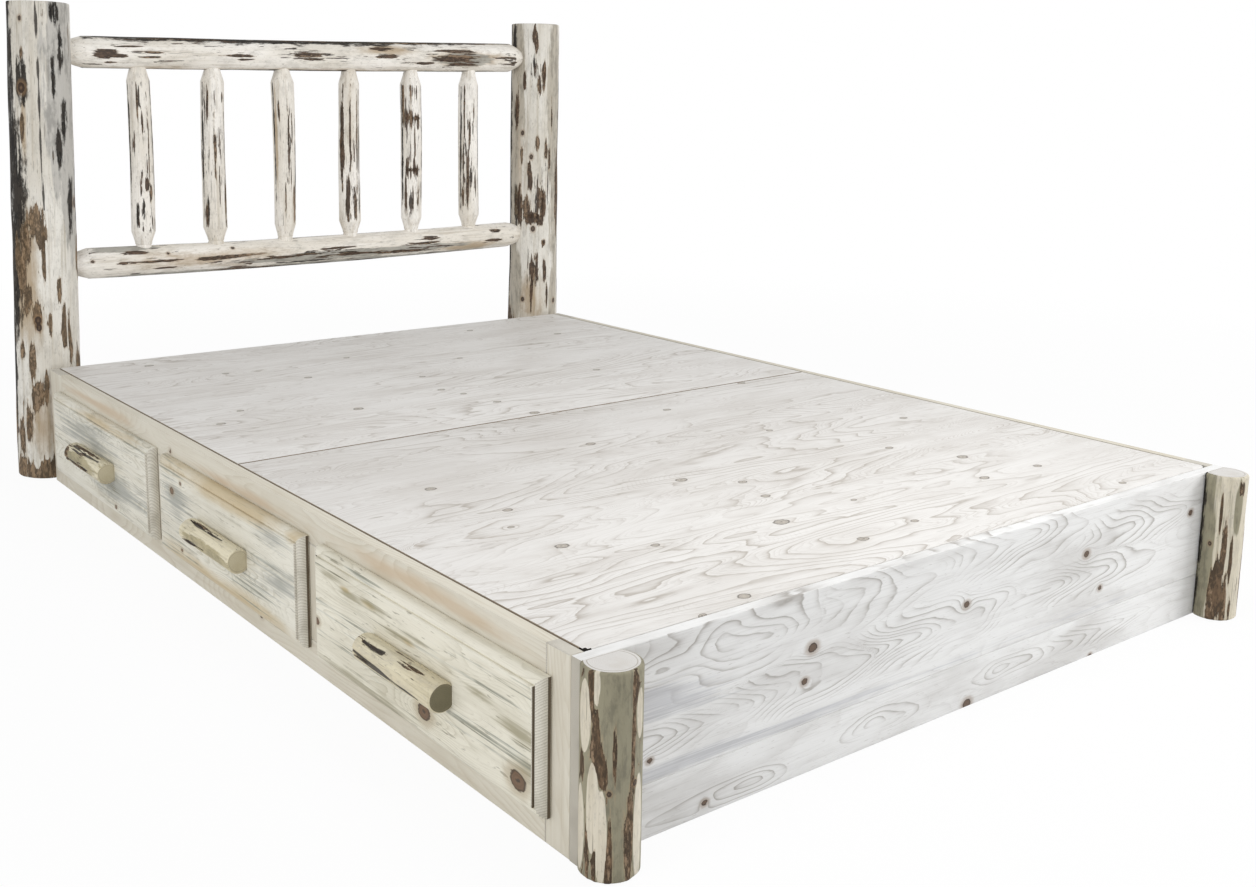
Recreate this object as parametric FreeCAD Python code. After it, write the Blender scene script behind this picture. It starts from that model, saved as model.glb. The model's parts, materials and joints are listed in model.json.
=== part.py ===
import FreeCAD, Part
import math
import os

# Rustic log bed: a low box with six drawers and a flat deck, between short
# half-round logs at the foot and a peeled log headboard.
# Lengths are in millimetres. X runs across the bed, Y from foot to head, Z up.
# The origin lies on the floor, under the middle of the whole bed.

# Box of boards that carries the mattress
box_width = 1400.0
box_length = 1960.0
box_height = 255.0
board_thickness = 19.0
footboard_lower_height = 72.0
head_panel_thickness = 38.0
head_panel_overhang = 19.0

# Deck of two sheets, level with the top of the side frames
deck_thickness = 19.0
deck_edge_gap = 1.5
deck_seam_gap = 1.0

# Side frames
frame_rail_height = 50.0
foot_stile_width = 47.0
middle_stile_width = 69.0
head_stile_width = 79.0
bay_names = ("foot", "middle", "head")

# Wooden ways that the drawers slide on
divider_thickness = 19.0
runner_height = 38.0
runner_reach = 15.0
guide_height = 25.0
guide_clearance = 0.8
slide_clearance = 0.3
seam_batten_width = 38.0

# Drawers
drawer_depth = 560.0
drawer_side_clearance = 3.0
drawer_top_clearance = 9.0
drawer_wall = 12.0
drawer_bottom_thickness = 6.0
front_overlap = 12.0
front_base_thickness = 17.0
front_field_thickness = 3.0
front_edge_round = 11.0
front_moulding_width = 12.0

# Pulls, cut from a thin log with a flat back
pull_length = 205.0
pull_diameter = 42.0
pull_depth = 35.0
pull_end_chamfer = 2.0
pull_screw_share = 0.3

# Head posts, which taper and lean as the logs grew
head_post_height = 1055.0
head_post_bottom_diameter = 141.0
head_post_top_diameter = 131.0
head_post_inset = 29.0
head_post_left_lean = 30.0
head_post_right_lean = -9.0
head_post_rim = 4.0
head_post_seat_depth = 4.5

# Head rails, with a coned shoulder and a round tenon at each end
top_rail_height = 956.0
top_rail_left_diameter = 71.0
top_rail_right_diameter = 77.0
bottom_rail_height = 475.0
bottom_rail_left_diameter = 72.0
bottom_rail_right_diameter = 67.0
rail_tenon_diameter = 52.0
rail_tenon_depth = 62.0
rail_neck_length = 2.0
rail_shoulder_length = 26.0

# Spindles between the head rails
spindle_post_distance = 218.5
spindle_diameter = 55.0
spindle_tenon_diameter = 35.0
spindle_tenon_depth = 38.0
spindle_shoulder_length = 31.0
spindle_top_girth_shares = (0.95, 1.01, 1.05, 0.95, 1.04, 0.98)
spindle_bottom_girth_shares = (1.01, 1.05, 0.95, 1.02, 1.02, 1.04)

# Foot posts, round logs with a flat back
foot_post_diameter = 74.0
foot_post_depth = 57.0
foot_post_inset = 29.0
foot_post_rim = 6.0

# Fasteners and fits
joint_clearance = 0.15
bolt_diameter = 8.0
bolt_head_diameter = 13.0
bolt_head_height = 5.5
bolt_head_sides = 6
bolt_washer_diameter = 21.0
bolt_washer_thickness = 1.6
bolt_reach = 55.0
bolt_edge_distance = 16.0
post_screw_diameter = 5.0
post_screw_head_diameter = 10.0
post_screw_head_height = 3.0
post_screw_reach = 32.0
pull_screw_diameter = 4.0
pull_screw_head_diameter = 8.0
pull_screw_head_height = 2.5
pull_screw_reach = 20.0
fastener_gap = 4.0
cut_overrun = 5.0

# Places that follow from these sizes
overall_length = (
    foot_post_depth + box_length + head_panel_overhang + head_post_bottom_diameter - head_post_seat_depth
)
foot_y = foot_post_depth - overall_length / 2
head_y = foot_y + box_length
half_width = box_width / 2
frame_inner_x = half_width - board_thickness
deck_underside = box_height - deck_thickness
opening_bottom = frame_rail_height
opening_top = box_height - frame_rail_height
frame_foot_y = foot_y + board_thickness
head_panel_inner_y = head_y + head_panel_overhang - head_panel_thickness
head_panel_outer_y = head_y + head_panel_overhang
post_axis_y = head_panel_outer_y + head_post_bottom_diameter / 2 - head_post_seat_depth
frame_length = head_y - frame_foot_y
drawers_per_side = len(bay_names)
stiles_total = foot_stile_width + head_stile_width + (drawers_per_side - 1) * middle_stile_width
opening_width = (frame_length - stiles_total) / drawers_per_side
side_signs = {"left": -1, "right": 1}
spine_half = board_thickness / 2
guide_top = opening_bottom + guide_height
fastener_inset = fastener_gap + bolt_washer_diameter / 2
fastener_heights = (guide_top + fastener_inset, opening_top - fastener_inset)
spindle_count = len(spindle_top_girth_shares)
spindle_span = 2 * (half_width - head_post_inset - spindle_post_distance)
spindle_pitch = spindle_span / (spindle_count - 1)


def save(name, solids):
    """Write one named piece, or a group of like pieces, as a STEP file."""
    shape = solids[0] if len(solids) == 1 else Part.makeCompound(solids)
    shape.exportStep("parts/" + name + ".step")


def block(x_pair, y_pair, z_pair):
    """A board between two x, two y and two z places, given in any order."""
    low = FreeCAD.Vector(min(x_pair), min(y_pair), min(z_pair))
    high = FreeCAD.Vector(max(x_pair), max(y_pair), max(z_pair))
    size = high - low
    return Part.makeBox(size.x, size.y, size.z, low)


def rod(start, direction, diameter, length):
    """A round bar from a start point along a direction."""
    return Part.makeCylinder(diameter / 2, length, start, direction)


def log(stations, direction):
    """A round log through (centre, diameter) stations, straight from one to the next."""
    rings = []
    for centre, diameter in stations:
        rings.append(Part.Wire([Part.Circle(centre, direction, diameter / 2).toShape()]))
    return Part.makeLoft(rings, True, True)


def fastener(start, direction, head_diameter, head_height, shank_diameter, shank_length):
    """A headed screw: the head stands behind the start point, the shank runs on from it."""
    back = direction * -head_height
    head = rod(start + back, direction, head_diameter, head_height)
    return head.fuse(rod(start, direction, shank_diameter, shank_length)).removeSplitter()


def fastener_bore(start, direction, shank_diameter, shank_length):
    """The hole for a fastener's shank."""
    behind = start - direction * cut_overrun
    bore_diameter = shank_diameter + 2 * joint_clearance
    return rod(behind, direction, bore_diameter, shank_length + cut_overrun + joint_clearance)


def bay_low(bay):
    """The foot end of a drawer opening."""
    return frame_foot_y + foot_stile_width + bay * (opening_width + middle_stile_width)


def bay_high(bay):
    """The head end of a drawer opening."""
    return bay_low(bay) + opening_width


def divider_places():
    """The y range of each cross divider, from foot to head."""
    places = [(frame_foot_y, frame_foot_y + divider_thickness)]
    for bay in range(drawers_per_side - 1):
        middle = (bay_high(bay) + bay_low(bay + 1)) / 2
        places.append((middle - divider_thickness / 2, middle + divider_thickness / 2))
    places.append((head_panel_inner_y - divider_thickness, head_panel_inner_y))
    return places


def post_axis_x(side, height):
    """The x place of a head post's axis at a height above the floor."""
    lean = head_post_left_lean if side == "left" else head_post_right_lean
    inset = head_post_inset + lean * (height / head_post_height - 1 / 2)
    return side_signs[side] * (half_width - inset)


def post_diameter(height):
    """A head post's diameter at a height above the floor."""
    share = height / head_post_height
    return head_post_bottom_diameter + share * (head_post_top_diameter - head_post_bottom_diameter)


def rail_ends(rail_z):
    """The x places where a head rail's axis meets the faces of the two posts."""
    radius = post_diameter(rail_z) / 2
    return post_axis_x("left", rail_z) + radius, post_axis_x("right", rail_z) - radius


def rail_diameter(x, rail_z, left_diameter, right_diameter):
    """A head rail's diameter at an x place between the posts."""
    left_x, right_x = rail_ends(rail_z)
    return left_diameter + (x - left_x) / (right_x - left_x) * (right_diameter - left_diameter)


def spindle_x(index):
    """The x place of a spindle's axis, counted from the left."""
    return (index - (spindle_count - 1) / 2) * spindle_pitch


def head_bolt_lines(side):
    """Start points of the bolts that hold a head post, on the inner face of the head divider."""
    x = side_signs[side] * (frame_inner_x - bolt_edge_distance)
    y = head_panel_inner_y - divider_thickness
    return [FreeCAD.Vector(x, y, z) for z in fastener_heights]


def foot_screw_lines(side):
    """Start points of the screws that hold a foot post, on the inner face of the foot divider."""
    x = side_signs[side] * (half_width - foot_post_inset)
    y = frame_foot_y + divider_thickness
    return [FreeCAD.Vector(x, y, z) for z in fastener_heights]


to_head = FreeCAD.Vector(0, 1, 0)
to_foot = FreeCAD.Vector(0, -1, 0)
upward = FreeCAD.Vector(0, 0, 1)
across = FreeCAD.Vector(1, 0, 0)
head_bolt_length = divider_thickness + head_panel_thickness + bolt_reach
foot_screw_length = divider_thickness + board_thickness + post_screw_reach


def head_bolt_bore(start):
    return fastener_bore(start, to_head, bolt_diameter, head_bolt_length)


def foot_screw_bore(start):
    return fastener_bore(start, to_foot, post_screw_diameter, foot_screw_length)


def head_post(side):
    """A thick log with a rounded rim at both ends, a flat seat and two mortises."""
    heights = (0, head_post_rim, head_post_height - head_post_rim, head_post_height)
    stations = []
    for height in heights:
        rim = 2 * head_post_rim if height in (0, head_post_height) else 0
        centre = FreeCAD.Vector(post_axis_x(side, height), post_axis_y, height)
        stations.append((centre, post_diameter(height) - rim))
    post = log(stations, upward)
    axis_x = post_axis_x(side, 0)
    seat = block(
        (axis_x - head_post_bottom_diameter, axis_x + head_post_bottom_diameter),
        (head_panel_outer_y, head_panel_outer_y - head_post_bottom_diameter),
        (-cut_overrun, box_height),
    )
    post = post.cut(seat)
    inward = across * -side_signs[side]
    for rail_z in (top_rail_height, bottom_rail_height):
        face_x = rail_ends(rail_z)[0 if side == "left" else 1]
        mouth = FreeCAD.Vector(face_x, post_axis_y, rail_z) + inward * cut_overrun
        bore_diameter = rail_tenon_diameter + 2 * joint_clearance
        bore_length = rail_tenon_depth + cut_overrun + joint_clearance
        post = post.cut(rod(mouth, inward * -1, bore_diameter, bore_length))
    for start in head_bolt_lines(side):
        post = post.cut(head_bolt_bore(start))
    return post


def head_rail(rail_z, left_diameter, right_diameter):
    """A thin log along X, with a coned shoulder and a tenon into each head post."""
    left_x, right_x = rail_ends(rail_z)
    left_neck = left_x + rail_neck_length
    right_neck = right_x - rail_neck_length
    stations = (
        (left_x - rail_tenon_depth, rail_tenon_diameter),
        (left_neck, rail_tenon_diameter),
        (left_neck + rail_shoulder_length, left_diameter),
        (right_neck - rail_shoulder_length, right_diameter),
        (right_neck, rail_tenon_diameter),
        (right_x + rail_tenon_depth, rail_tenon_diameter),
    )
    return log([(FreeCAD.Vector(x, post_axis_y, rail_z), size) for x, size in stations], across)


def spindle_bore(x, rail_face_z, direction):
    """The mortise for a spindle's tenon in the face of a head rail."""
    mouth = FreeCAD.Vector(x, post_axis_y, rail_face_z) - direction * cut_overrun
    bore_diameter = spindle_tenon_diameter + 2 * joint_clearance
    return rod(mouth, direction, bore_diameter, spindle_tenon_depth + cut_overrun + joint_clearance)


def top_rail_underside(x):
    diameter = rail_diameter(x, top_rail_height, top_rail_left_diameter, top_rail_right_diameter)
    return top_rail_height - diameter / 2


def bottom_rail_upper_face(x):
    diameter = rail_diameter(x, bottom_rail_height, bottom_rail_left_diameter, bottom_rail_right_diameter)
    return bottom_rail_height + diameter / 2


def spindle(index):
    """An upright thin log with a coned shoulder and a tenon into each head rail."""
    x = spindle_x(index)
    low = bottom_rail_upper_face(x)
    high = top_rail_underside(x)
    stations = (
        (low - spindle_tenon_depth, spindle_tenon_diameter),
        (low, spindle_tenon_diameter),
        (low + spindle_shoulder_length, spindle_diameter * spindle_bottom_girth_shares[index]),
        (high - spindle_shoulder_length, spindle_diameter * spindle_top_girth_shares[index]),
        (high, spindle_tenon_diameter),
        (high + spindle_tenon_depth, spindle_tenon_diameter),
    )
    return log([(FreeCAD.Vector(x, post_axis_y, z), size) for z, size in stations], upward)


def foot_post(side):
    """A short upright log with a flat back, on the face of the footboard."""
    axis_x = side_signs[side] * (half_width - foot_post_inset)
    axis_y = foot_y - foot_post_depth + foot_post_diameter / 2
    stations = (
        (FreeCAD.Vector(axis_x, axis_y, 0), foot_post_diameter),
        (FreeCAD.Vector(axis_x, axis_y, box_height - foot_post_rim / 2), foot_post_diameter),
        (FreeCAD.Vector(axis_x, axis_y, box_height), foot_post_diameter - foot_post_rim),
    )
    back = block(
        (axis_x - foot_post_diameter, axis_x + foot_post_diameter),
        (foot_y, foot_y + foot_post_diameter),
        (-cut_overrun, box_height + cut_overrun),
    )
    post = log(stations, upward).cut(back)
    for start in foot_screw_lines(side):
        post = post.cut(foot_screw_bore(start))
    return post


def footboard(z_pair):
    """One board of the footboard, which covers the ends of both side frames."""
    board = block((-half_width, half_width), (foot_y, frame_foot_y), z_pair)
    for side in side_signs:
        for start in foot_screw_lines(side):
            board = board.cut(foot_screw_bore(start))
    return board


def head_panel():
    """The thick board between the head ends of the side frames, which the head posts are bolted to."""
    panel = block(
        (-frame_inner_x, frame_inner_x), (head_panel_inner_y, head_panel_outer_y), (0, deck_underside)
    )
    for side in side_signs:
        for start in head_bolt_lines(side):
            panel = panel.cut(head_bolt_bore(start))
    return panel


def side_x_pair(side, inner, outer):
    """Two x places on one side of the bed, given as distances from its middle."""
    return side_signs[side] * inner, side_signs[side] * outer


def side_frame(side):
    """The face frame of one long side: two rails, two end stiles and the stiles between drawers."""
    x_pair = side_x_pair(side, frame_inner_x, half_width)
    rails_y = (frame_foot_y + foot_stile_width, head_y - head_stile_width)
    save(side + "_side_top_rail", [block(x_pair, rails_y, (opening_top, box_height))])
    save(side + "_side_bottom_rail", [block(x_pair, rails_y, (0, opening_bottom))])
    stiles = [block(x_pair, (frame_foot_y, rails_y[0]), (0, box_height))]
    for bay in range(drawers_per_side - 1):
        stiles.append(block(x_pair, (bay_high(bay), bay_low(bay + 1)), (opening_bottom, opening_top)))
    stiles.append(block(x_pair, (rails_y[1], head_y), (0, box_height)))
    save(side + "_side_stiles", stiles)


def dividers():
    """Cross boards between the side frames and the spine, on both sides of every drawer."""
    boards = []
    places = divider_places()
    for side in side_signs:
        x_pair = side_x_pair(side, spine_half, frame_inner_x)
        for place in places:
            board = block(x_pair, place, (0, deck_underside))
            bores = []
            if place is places[0]:
                bores = [foot_screw_bore(start) for start in foot_screw_lines(side)]
            if place is places[-1]:
                bores = [head_bolt_bore(start) for start in head_bolt_lines(side)]
            for bore in bores:
                board = board.cut(bore)
            boards.append(board)
    return boards


def way_places():
    """For each drawer edge: the divider face beside it and the edge of the drawer opening."""
    places = divider_places()
    edges = []
    for bay in range(drawers_per_side):
        edges.append((places[bay][1], bay_low(bay), 1))
        edges.append((places[bay + 1][0], bay_high(bay), -1))
    return edges


def drawer_runners():
    """Strips fixed to the dividers, level with the lower edge of the openings."""
    strips = []
    for side in side_signs:
        x_pair = side_x_pair(side, spine_half, frame_inner_x)
        for divider_face, edge, inward in way_places():
            z_pair = (opening_bottom - runner_height, opening_bottom)
            strips.append(block(x_pair, (divider_face, edge + inward * runner_reach), z_pair))
    return strips


def drawer_guides():
    """Strips on the runners that keep each drawer straight."""
    strips = []
    for side in side_signs:
        x_pair = side_x_pair(side, spine_half, frame_inner_x)
        for divider_face, edge, inward in way_places():
            guide_face = edge + inward * (drawer_side_clearance - guide_clearance)
            z_pair = (opening_bottom, guide_top)
            strips.append(block(x_pair, (divider_face, guide_face), z_pair))
    return strips


def deck_cleats():
    """Strips under the deck: along the side frames between the dividers, and under the seam."""
    strips = []
    z_pair = (opening_top, deck_underside)
    places = divider_places()
    cleat_inner_x = frame_inner_x - board_thickness
    seam_y = deck_seam_place()
    for side in side_signs:
        for bay in range(drawers_per_side):
            x_pair = side_x_pair(side, cleat_inner_x, frame_inner_x)
            strips.append(block(x_pair, (places[bay][1], places[bay + 1][0]), z_pair))
        x_pair = side_x_pair(side, spine_half, cleat_inner_x)
        y_pair = (seam_y - seam_batten_width / 2, seam_y + seam_batten_width / 2)
        strips.append(block(x_pair, y_pair, z_pair))
    return strips


def deck_seam_place():
    """The y place of the joint between the two equal deck sheets."""
    return (frame_foot_y + deck_edge_gap + head_y) / 2


def deck_panel(y_pair):
    """One sheet of the deck, between the side frames."""
    edge_x = frame_inner_x - deck_edge_gap
    return block((-edge_x, edge_x), y_pair, (deck_underside, box_height))


def drawer_front(side, bay):
    """An overlay front with a rounded edge moulding round a slightly raised field."""
    back_x = half_width + slide_clearance
    base_x = back_x + front_base_thickness
    y_pair = (bay_low(bay) - front_overlap, bay_high(bay) + front_overlap)
    z_pair = (opening_bottom - front_overlap, opening_top + front_overlap)
    base = block(side_x_pair(side, back_x, base_x), y_pair, z_pair)
    face_x = side_signs[side] * base_x
    rim = [edge for edge in base.Edges if all(abs(v.X - face_x) < joint_clearance for v in edge.Vertexes)]
    base = base.makeFillet(front_edge_round, rim)
    field_y = (y_pair[0] + front_moulding_width, y_pair[1] - front_moulding_width)
    field_z = (z_pair[0] + front_moulding_width, z_pair[1] - front_moulding_width)
    field_x = side_x_pair(side, back_x, base_x + front_field_thickness)
    front = base.fuse(block(field_x, field_y, field_z)).removeSplitter()
    for start in pull_screw_starts(side, bay):
        front = front.cut(pull_screw_bore(side, start))
    return front


def pull_centre(side, bay):
    """The middle of a pull's flat back."""
    x = side_signs[side] * (half_width + slide_clearance + front_base_thickness + front_field_thickness)
    y = (bay_low(bay) + bay_high(bay)) / 2
    return FreeCAD.Vector(x, y, (opening_bottom + opening_top) / 2)


def pull_screw_starts(side, bay):
    """Start points of a pull's two screws, on the inner face of the drawer box's front wall."""
    centre = pull_centre(side, bay)
    x = side_signs[side] * (half_width + slide_clearance - drawer_wall)
    offset = pull_screw_share * pull_length
    return [FreeCAD.Vector(x, centre.y + sign * offset, centre.z) for sign in (-1, 1)]


pull_screw_length = drawer_wall + front_base_thickness + front_field_thickness + pull_screw_reach


def pull_screw_bore(side, start):
    return fastener_bore(start, across * side_signs[side], pull_screw_diameter, pull_screw_length)


def drawer_pull(side, bay):
    """A short log with a flat back, lying along the drawer front."""
    centre = pull_centre(side, bay)
    outward = side_signs[side]
    axis_x = centre.x + outward * (pull_depth - pull_diameter / 2)
    end = pull_length / 2
    stations = (
        (-end, pull_diameter - 2 * pull_end_chamfer),
        (pull_end_chamfer - end, pull_diameter),
        (end - pull_end_chamfer, pull_diameter),
        (end, pull_diameter - 2 * pull_end_chamfer),
    )
    body = log([(FreeCAD.Vector(axis_x, centre.y + y, centre.z), size) for y, size in stations], to_head)
    behind = block(
        (centre.x, centre.x - outward * pull_diameter),
        (centre.y - pull_length, centre.y + pull_length),
        (centre.z - pull_diameter, centre.z + pull_diameter),
    )
    body = body.cut(behind)
    for start in pull_screw_starts(side, bay):
        body = body.cut(pull_screw_bore(side, start))
    return body


def drawer_box(side, bay):
    """The four walls of a drawer: two sides, a back and an inner front."""
    outer_x = half_width + slide_clearance
    back_x = outer_x - drawer_depth
    low_y = bay_low(bay) + drawer_side_clearance
    high_y = bay_high(bay) - drawer_side_clearance
    z_low = opening_bottom + slide_clearance + drawer_bottom_thickness
    z_pair = (z_low, opening_top - drawer_top_clearance)
    length_x = side_x_pair(side, back_x, outer_x)
    between_y = (low_y + drawer_wall, high_y - drawer_wall)
    inner_front = block(side_x_pair(side, outer_x - drawer_wall, outer_x), between_y, z_pair)
    for start in pull_screw_starts(side, bay):
        inner_front = inner_front.cut(pull_screw_bore(side, start))
    return [
        block(length_x, (low_y, low_y + drawer_wall), z_pair),
        block(length_x, (high_y - drawer_wall, high_y), z_pair),
        block(side_x_pair(side, back_x, back_x + drawer_wall), between_y, z_pair),
        inner_front,
    ]


def drawer_bottom(side, bay):
    """The thin sheet under a drawer's walls."""
    outer_x = half_width + slide_clearance
    y_pair = (bay_low(bay) + drawer_side_clearance, bay_high(bay) - drawer_side_clearance)
    z_low = opening_bottom + slide_clearance
    return block(
        side_x_pair(side, outer_x - drawer_depth, outer_x), y_pair, (z_low, z_low + drawer_bottom_thickness)
    )


def drawer_screws(side, bay):
    """The two screws that hold a pull, with their heads inside the drawer."""
    screws = []
    for start in pull_screw_starts(side, bay):
        direction = across * side_signs[side]
        screws.append(
            fastener(
                start,
                direction,
                pull_screw_head_diameter,
                pull_screw_head_height,
                pull_screw_diameter,
                pull_screw_length,
            )
        )
    return screws


def head_bolts():
    """Hexagon bolts with washers, from the head divider through the panel into the posts."""
    bolts = []
    for side in side_signs:
        for start in head_bolt_lines(side):
            washer_back = start - to_head * bolt_washer_thickness
            head_back = washer_back - to_head * bolt_head_height
            washer = rod(washer_back, to_head, bolt_washer_diameter, bolt_washer_thickness)
            corners = []
            for corner in range(bolt_head_sides + 1):
                angle = 2 * math.pi * corner / bolt_head_sides
                radial = FreeCAD.Vector(math.cos(angle), 0, math.sin(angle)) * (bolt_head_diameter / 2)
                corners.append(head_back + radial)
            head = Part.Face(Part.makePolygon(corners)).extrude(to_head * bolt_head_height)
            shank = rod(washer_back, to_head, bolt_diameter, bolt_washer_thickness + head_bolt_length)
            bolts.append(washer.fuse(head).fuse(shank).removeSplitter())
    return bolts


def foot_screws():
    """Screws from the foot divider through the footboard into the foot posts."""
    screws = []
    for side in side_signs:
        for start in foot_screw_lines(side):
            screws.append(
                fastener(
                    start,
                    to_foot,
                    post_screw_head_diameter,
                    post_screw_head_height,
                    post_screw_diameter,
                    foot_screw_length,
                )
            )
    return screws


def build_headboard():
    for side in side_signs:
        save("head_post_" + side, [head_post(side)])
    top_rail = head_rail(top_rail_height, top_rail_left_diameter, top_rail_right_diameter)
    bottom_rail = head_rail(bottom_rail_height, bottom_rail_left_diameter, bottom_rail_right_diameter)
    for index in range(spindle_count):
        x = spindle_x(index)
        top_rail = top_rail.cut(spindle_bore(x, top_rail_underside(x), upward))
        bottom_rail = bottom_rail.cut(spindle_bore(x, bottom_rail_upper_face(x), upward * -1))
        save("spindle_" + str(index + 1), [spindle(index)])
    save("head_rail_top", [top_rail])
    save("head_rail_bottom", [bottom_rail])
    save("headboard_bolts", head_bolts())


def build_box():
    for side in side_signs:
        side_frame(side)
        save("foot_post_" + side, [foot_post(side)])
    save("footboard_lower_board", [footboard((0, footboard_lower_height))])
    save("footboard_upper_board", [footboard((footboard_lower_height, box_height))])
    save("foot_post_screws", foot_screws())
    save("head_panel", [head_panel()])
    spine = block((-spine_half, spine_half), (frame_foot_y, head_panel_inner_y), (0, deck_underside))
    save("centre_spine", [spine])
    save("cross_dividers", dividers())
    save("drawer_runners", drawer_runners())
    save("drawer_guides", drawer_guides())
    save("deck_cleats", deck_cleats())
    seam_y = deck_seam_place()
    save("deck_panel_foot", [deck_panel((frame_foot_y + deck_edge_gap, seam_y - deck_seam_gap / 2))])
    save("deck_panel_head", [deck_panel((seam_y + deck_seam_gap / 2, head_y))])


def build_drawers():
    for side in side_signs:
        for bay in range(drawers_per_side):
            name = side + "_" + bay_names[bay] + "_drawer_"
            save(name + "front", [drawer_front(side, bay)])
            save(name + "box", drawer_box(side, bay))
            save(name + "bottom", [drawer_bottom(side, bay)])
            save(name + "pull", [drawer_pull(side, bay)])
            save(name + "screws", drawer_screws(side, bay))


os.makedirs("parts", exist_ok=True)
build_headboard()
build_box()
build_drawers()
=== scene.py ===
import json
import math

import bpy
import numpy as np
from mathutils import Matrix, Vector

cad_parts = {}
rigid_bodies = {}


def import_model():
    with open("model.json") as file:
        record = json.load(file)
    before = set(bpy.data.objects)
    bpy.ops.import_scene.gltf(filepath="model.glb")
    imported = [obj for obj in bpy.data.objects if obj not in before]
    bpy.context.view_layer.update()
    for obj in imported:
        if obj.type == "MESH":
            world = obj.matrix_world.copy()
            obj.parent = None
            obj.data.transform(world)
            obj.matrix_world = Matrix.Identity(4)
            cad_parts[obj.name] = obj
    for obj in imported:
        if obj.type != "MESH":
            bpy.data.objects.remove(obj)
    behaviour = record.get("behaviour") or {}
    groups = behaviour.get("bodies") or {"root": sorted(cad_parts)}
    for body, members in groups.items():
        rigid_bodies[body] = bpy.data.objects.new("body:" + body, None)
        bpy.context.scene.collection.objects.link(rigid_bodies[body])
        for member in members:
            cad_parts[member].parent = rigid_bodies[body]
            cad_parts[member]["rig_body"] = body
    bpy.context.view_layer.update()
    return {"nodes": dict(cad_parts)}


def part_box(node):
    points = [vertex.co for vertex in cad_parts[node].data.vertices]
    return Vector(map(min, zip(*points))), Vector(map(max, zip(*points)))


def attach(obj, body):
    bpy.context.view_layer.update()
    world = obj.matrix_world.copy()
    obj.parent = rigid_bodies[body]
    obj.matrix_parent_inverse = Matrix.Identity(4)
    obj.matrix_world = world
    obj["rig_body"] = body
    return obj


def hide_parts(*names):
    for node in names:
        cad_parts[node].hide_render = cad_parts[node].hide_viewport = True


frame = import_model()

# Rustic log bed: peeled logs, a boarded box with six drawers and a flat deck.
# Lengths are in metres, those of marks on the wood in millimetres, and angles in degrees.
# X runs across the bed, Y from foot to head, Z up.

MM = 0.001
UP = Vector((0, 0, 1))
TO_FOOT = Vector((0, -1, 0))
RIGHT = Vector((1, 0, 0))
WHITE = (1, 1, 1, 1)
sides = {"left": -1, "right": 1}
bays = ("foot", "middle", "head")


def link(name, data):
    """A new object in the scene."""
    made = bpy.data.objects.new(name, data)
    bpy.context.scene.collection.objects.link(made)
    return made


# Camera, at the photograph's point of view
photo_width, photo_height = 1256, 887
axis_pixel_x, axis_pixel_y = 600, 340
focal_pixels = 1387.0
camera_azimuth, camera_elevation, camera_roll = 37.96, 10.455, 0.777
camera_place = Vector((-1.593, -2.201, 0.895))
sensor_width = 36.0


def make_camera():
    data = bpy.data.cameras.new("camera")
    data.sensor_width = sensor_width
    data.lens = focal_pixels / photo_width * sensor_width
    data.shift_x = (photo_width / 2 - axis_pixel_x) / photo_width
    data.shift_y = (axis_pixel_y - photo_height / 2) / photo_width
    azimuth, elevation, roll = map(math.radians, (camera_azimuth, camera_elevation, camera_roll))
    level = math.cos(elevation)
    forward = Vector((math.sin(azimuth) * level, math.cos(azimuth) * level, -math.sin(elevation)))
    right = forward.cross(UP).normalized()
    up = right.cross(forward)
    turned_right = right * math.cos(roll) + up * math.sin(roll)
    turned_up = up * math.cos(roll) - right * math.sin(roll)
    turn = Matrix((turned_right, turned_up, -forward)).transposed().to_4x4()
    camera = link("camera", data)
    camera.matrix_world = Matrix.Translation(camera_place) @ turn
    bpy.context.scene.camera = camera


# Node trees
def paint(code):
    """A colour written as a six figure code, in linear values."""
    channels = [int(code[k : k + 2], 16) / 255 for k in (0, 2, 4)]
    return tuple(c / 12.92 if c <= 0.04045 else ((c + 0.055) / 1.055) ** 2.4 for c in channels) + (1.0,)


def darker(code, share=0.5):
    """A colour with less light."""
    return tuple(channel * share for channel in paint(code)[:3]) + (1.0,)


class Value:
    """An output of a node, which can be used in sums."""

    def __init__(self, graph, socket):
        self.graph, self.socket = graph, socket


def make_sum(operation):
    return lambda value, other: value.graph.sum(operation, value, other)


Value.__add__ = Value.__radd__ = make_sum("ADD")
Value.__sub__ = make_sum("SUBTRACT")
Value.__mul__ = make_sum("MULTIPLY")
Value.__truediv__ = make_sum("DIVIDE")
Value.__pow__ = make_sum("POWER")


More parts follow.
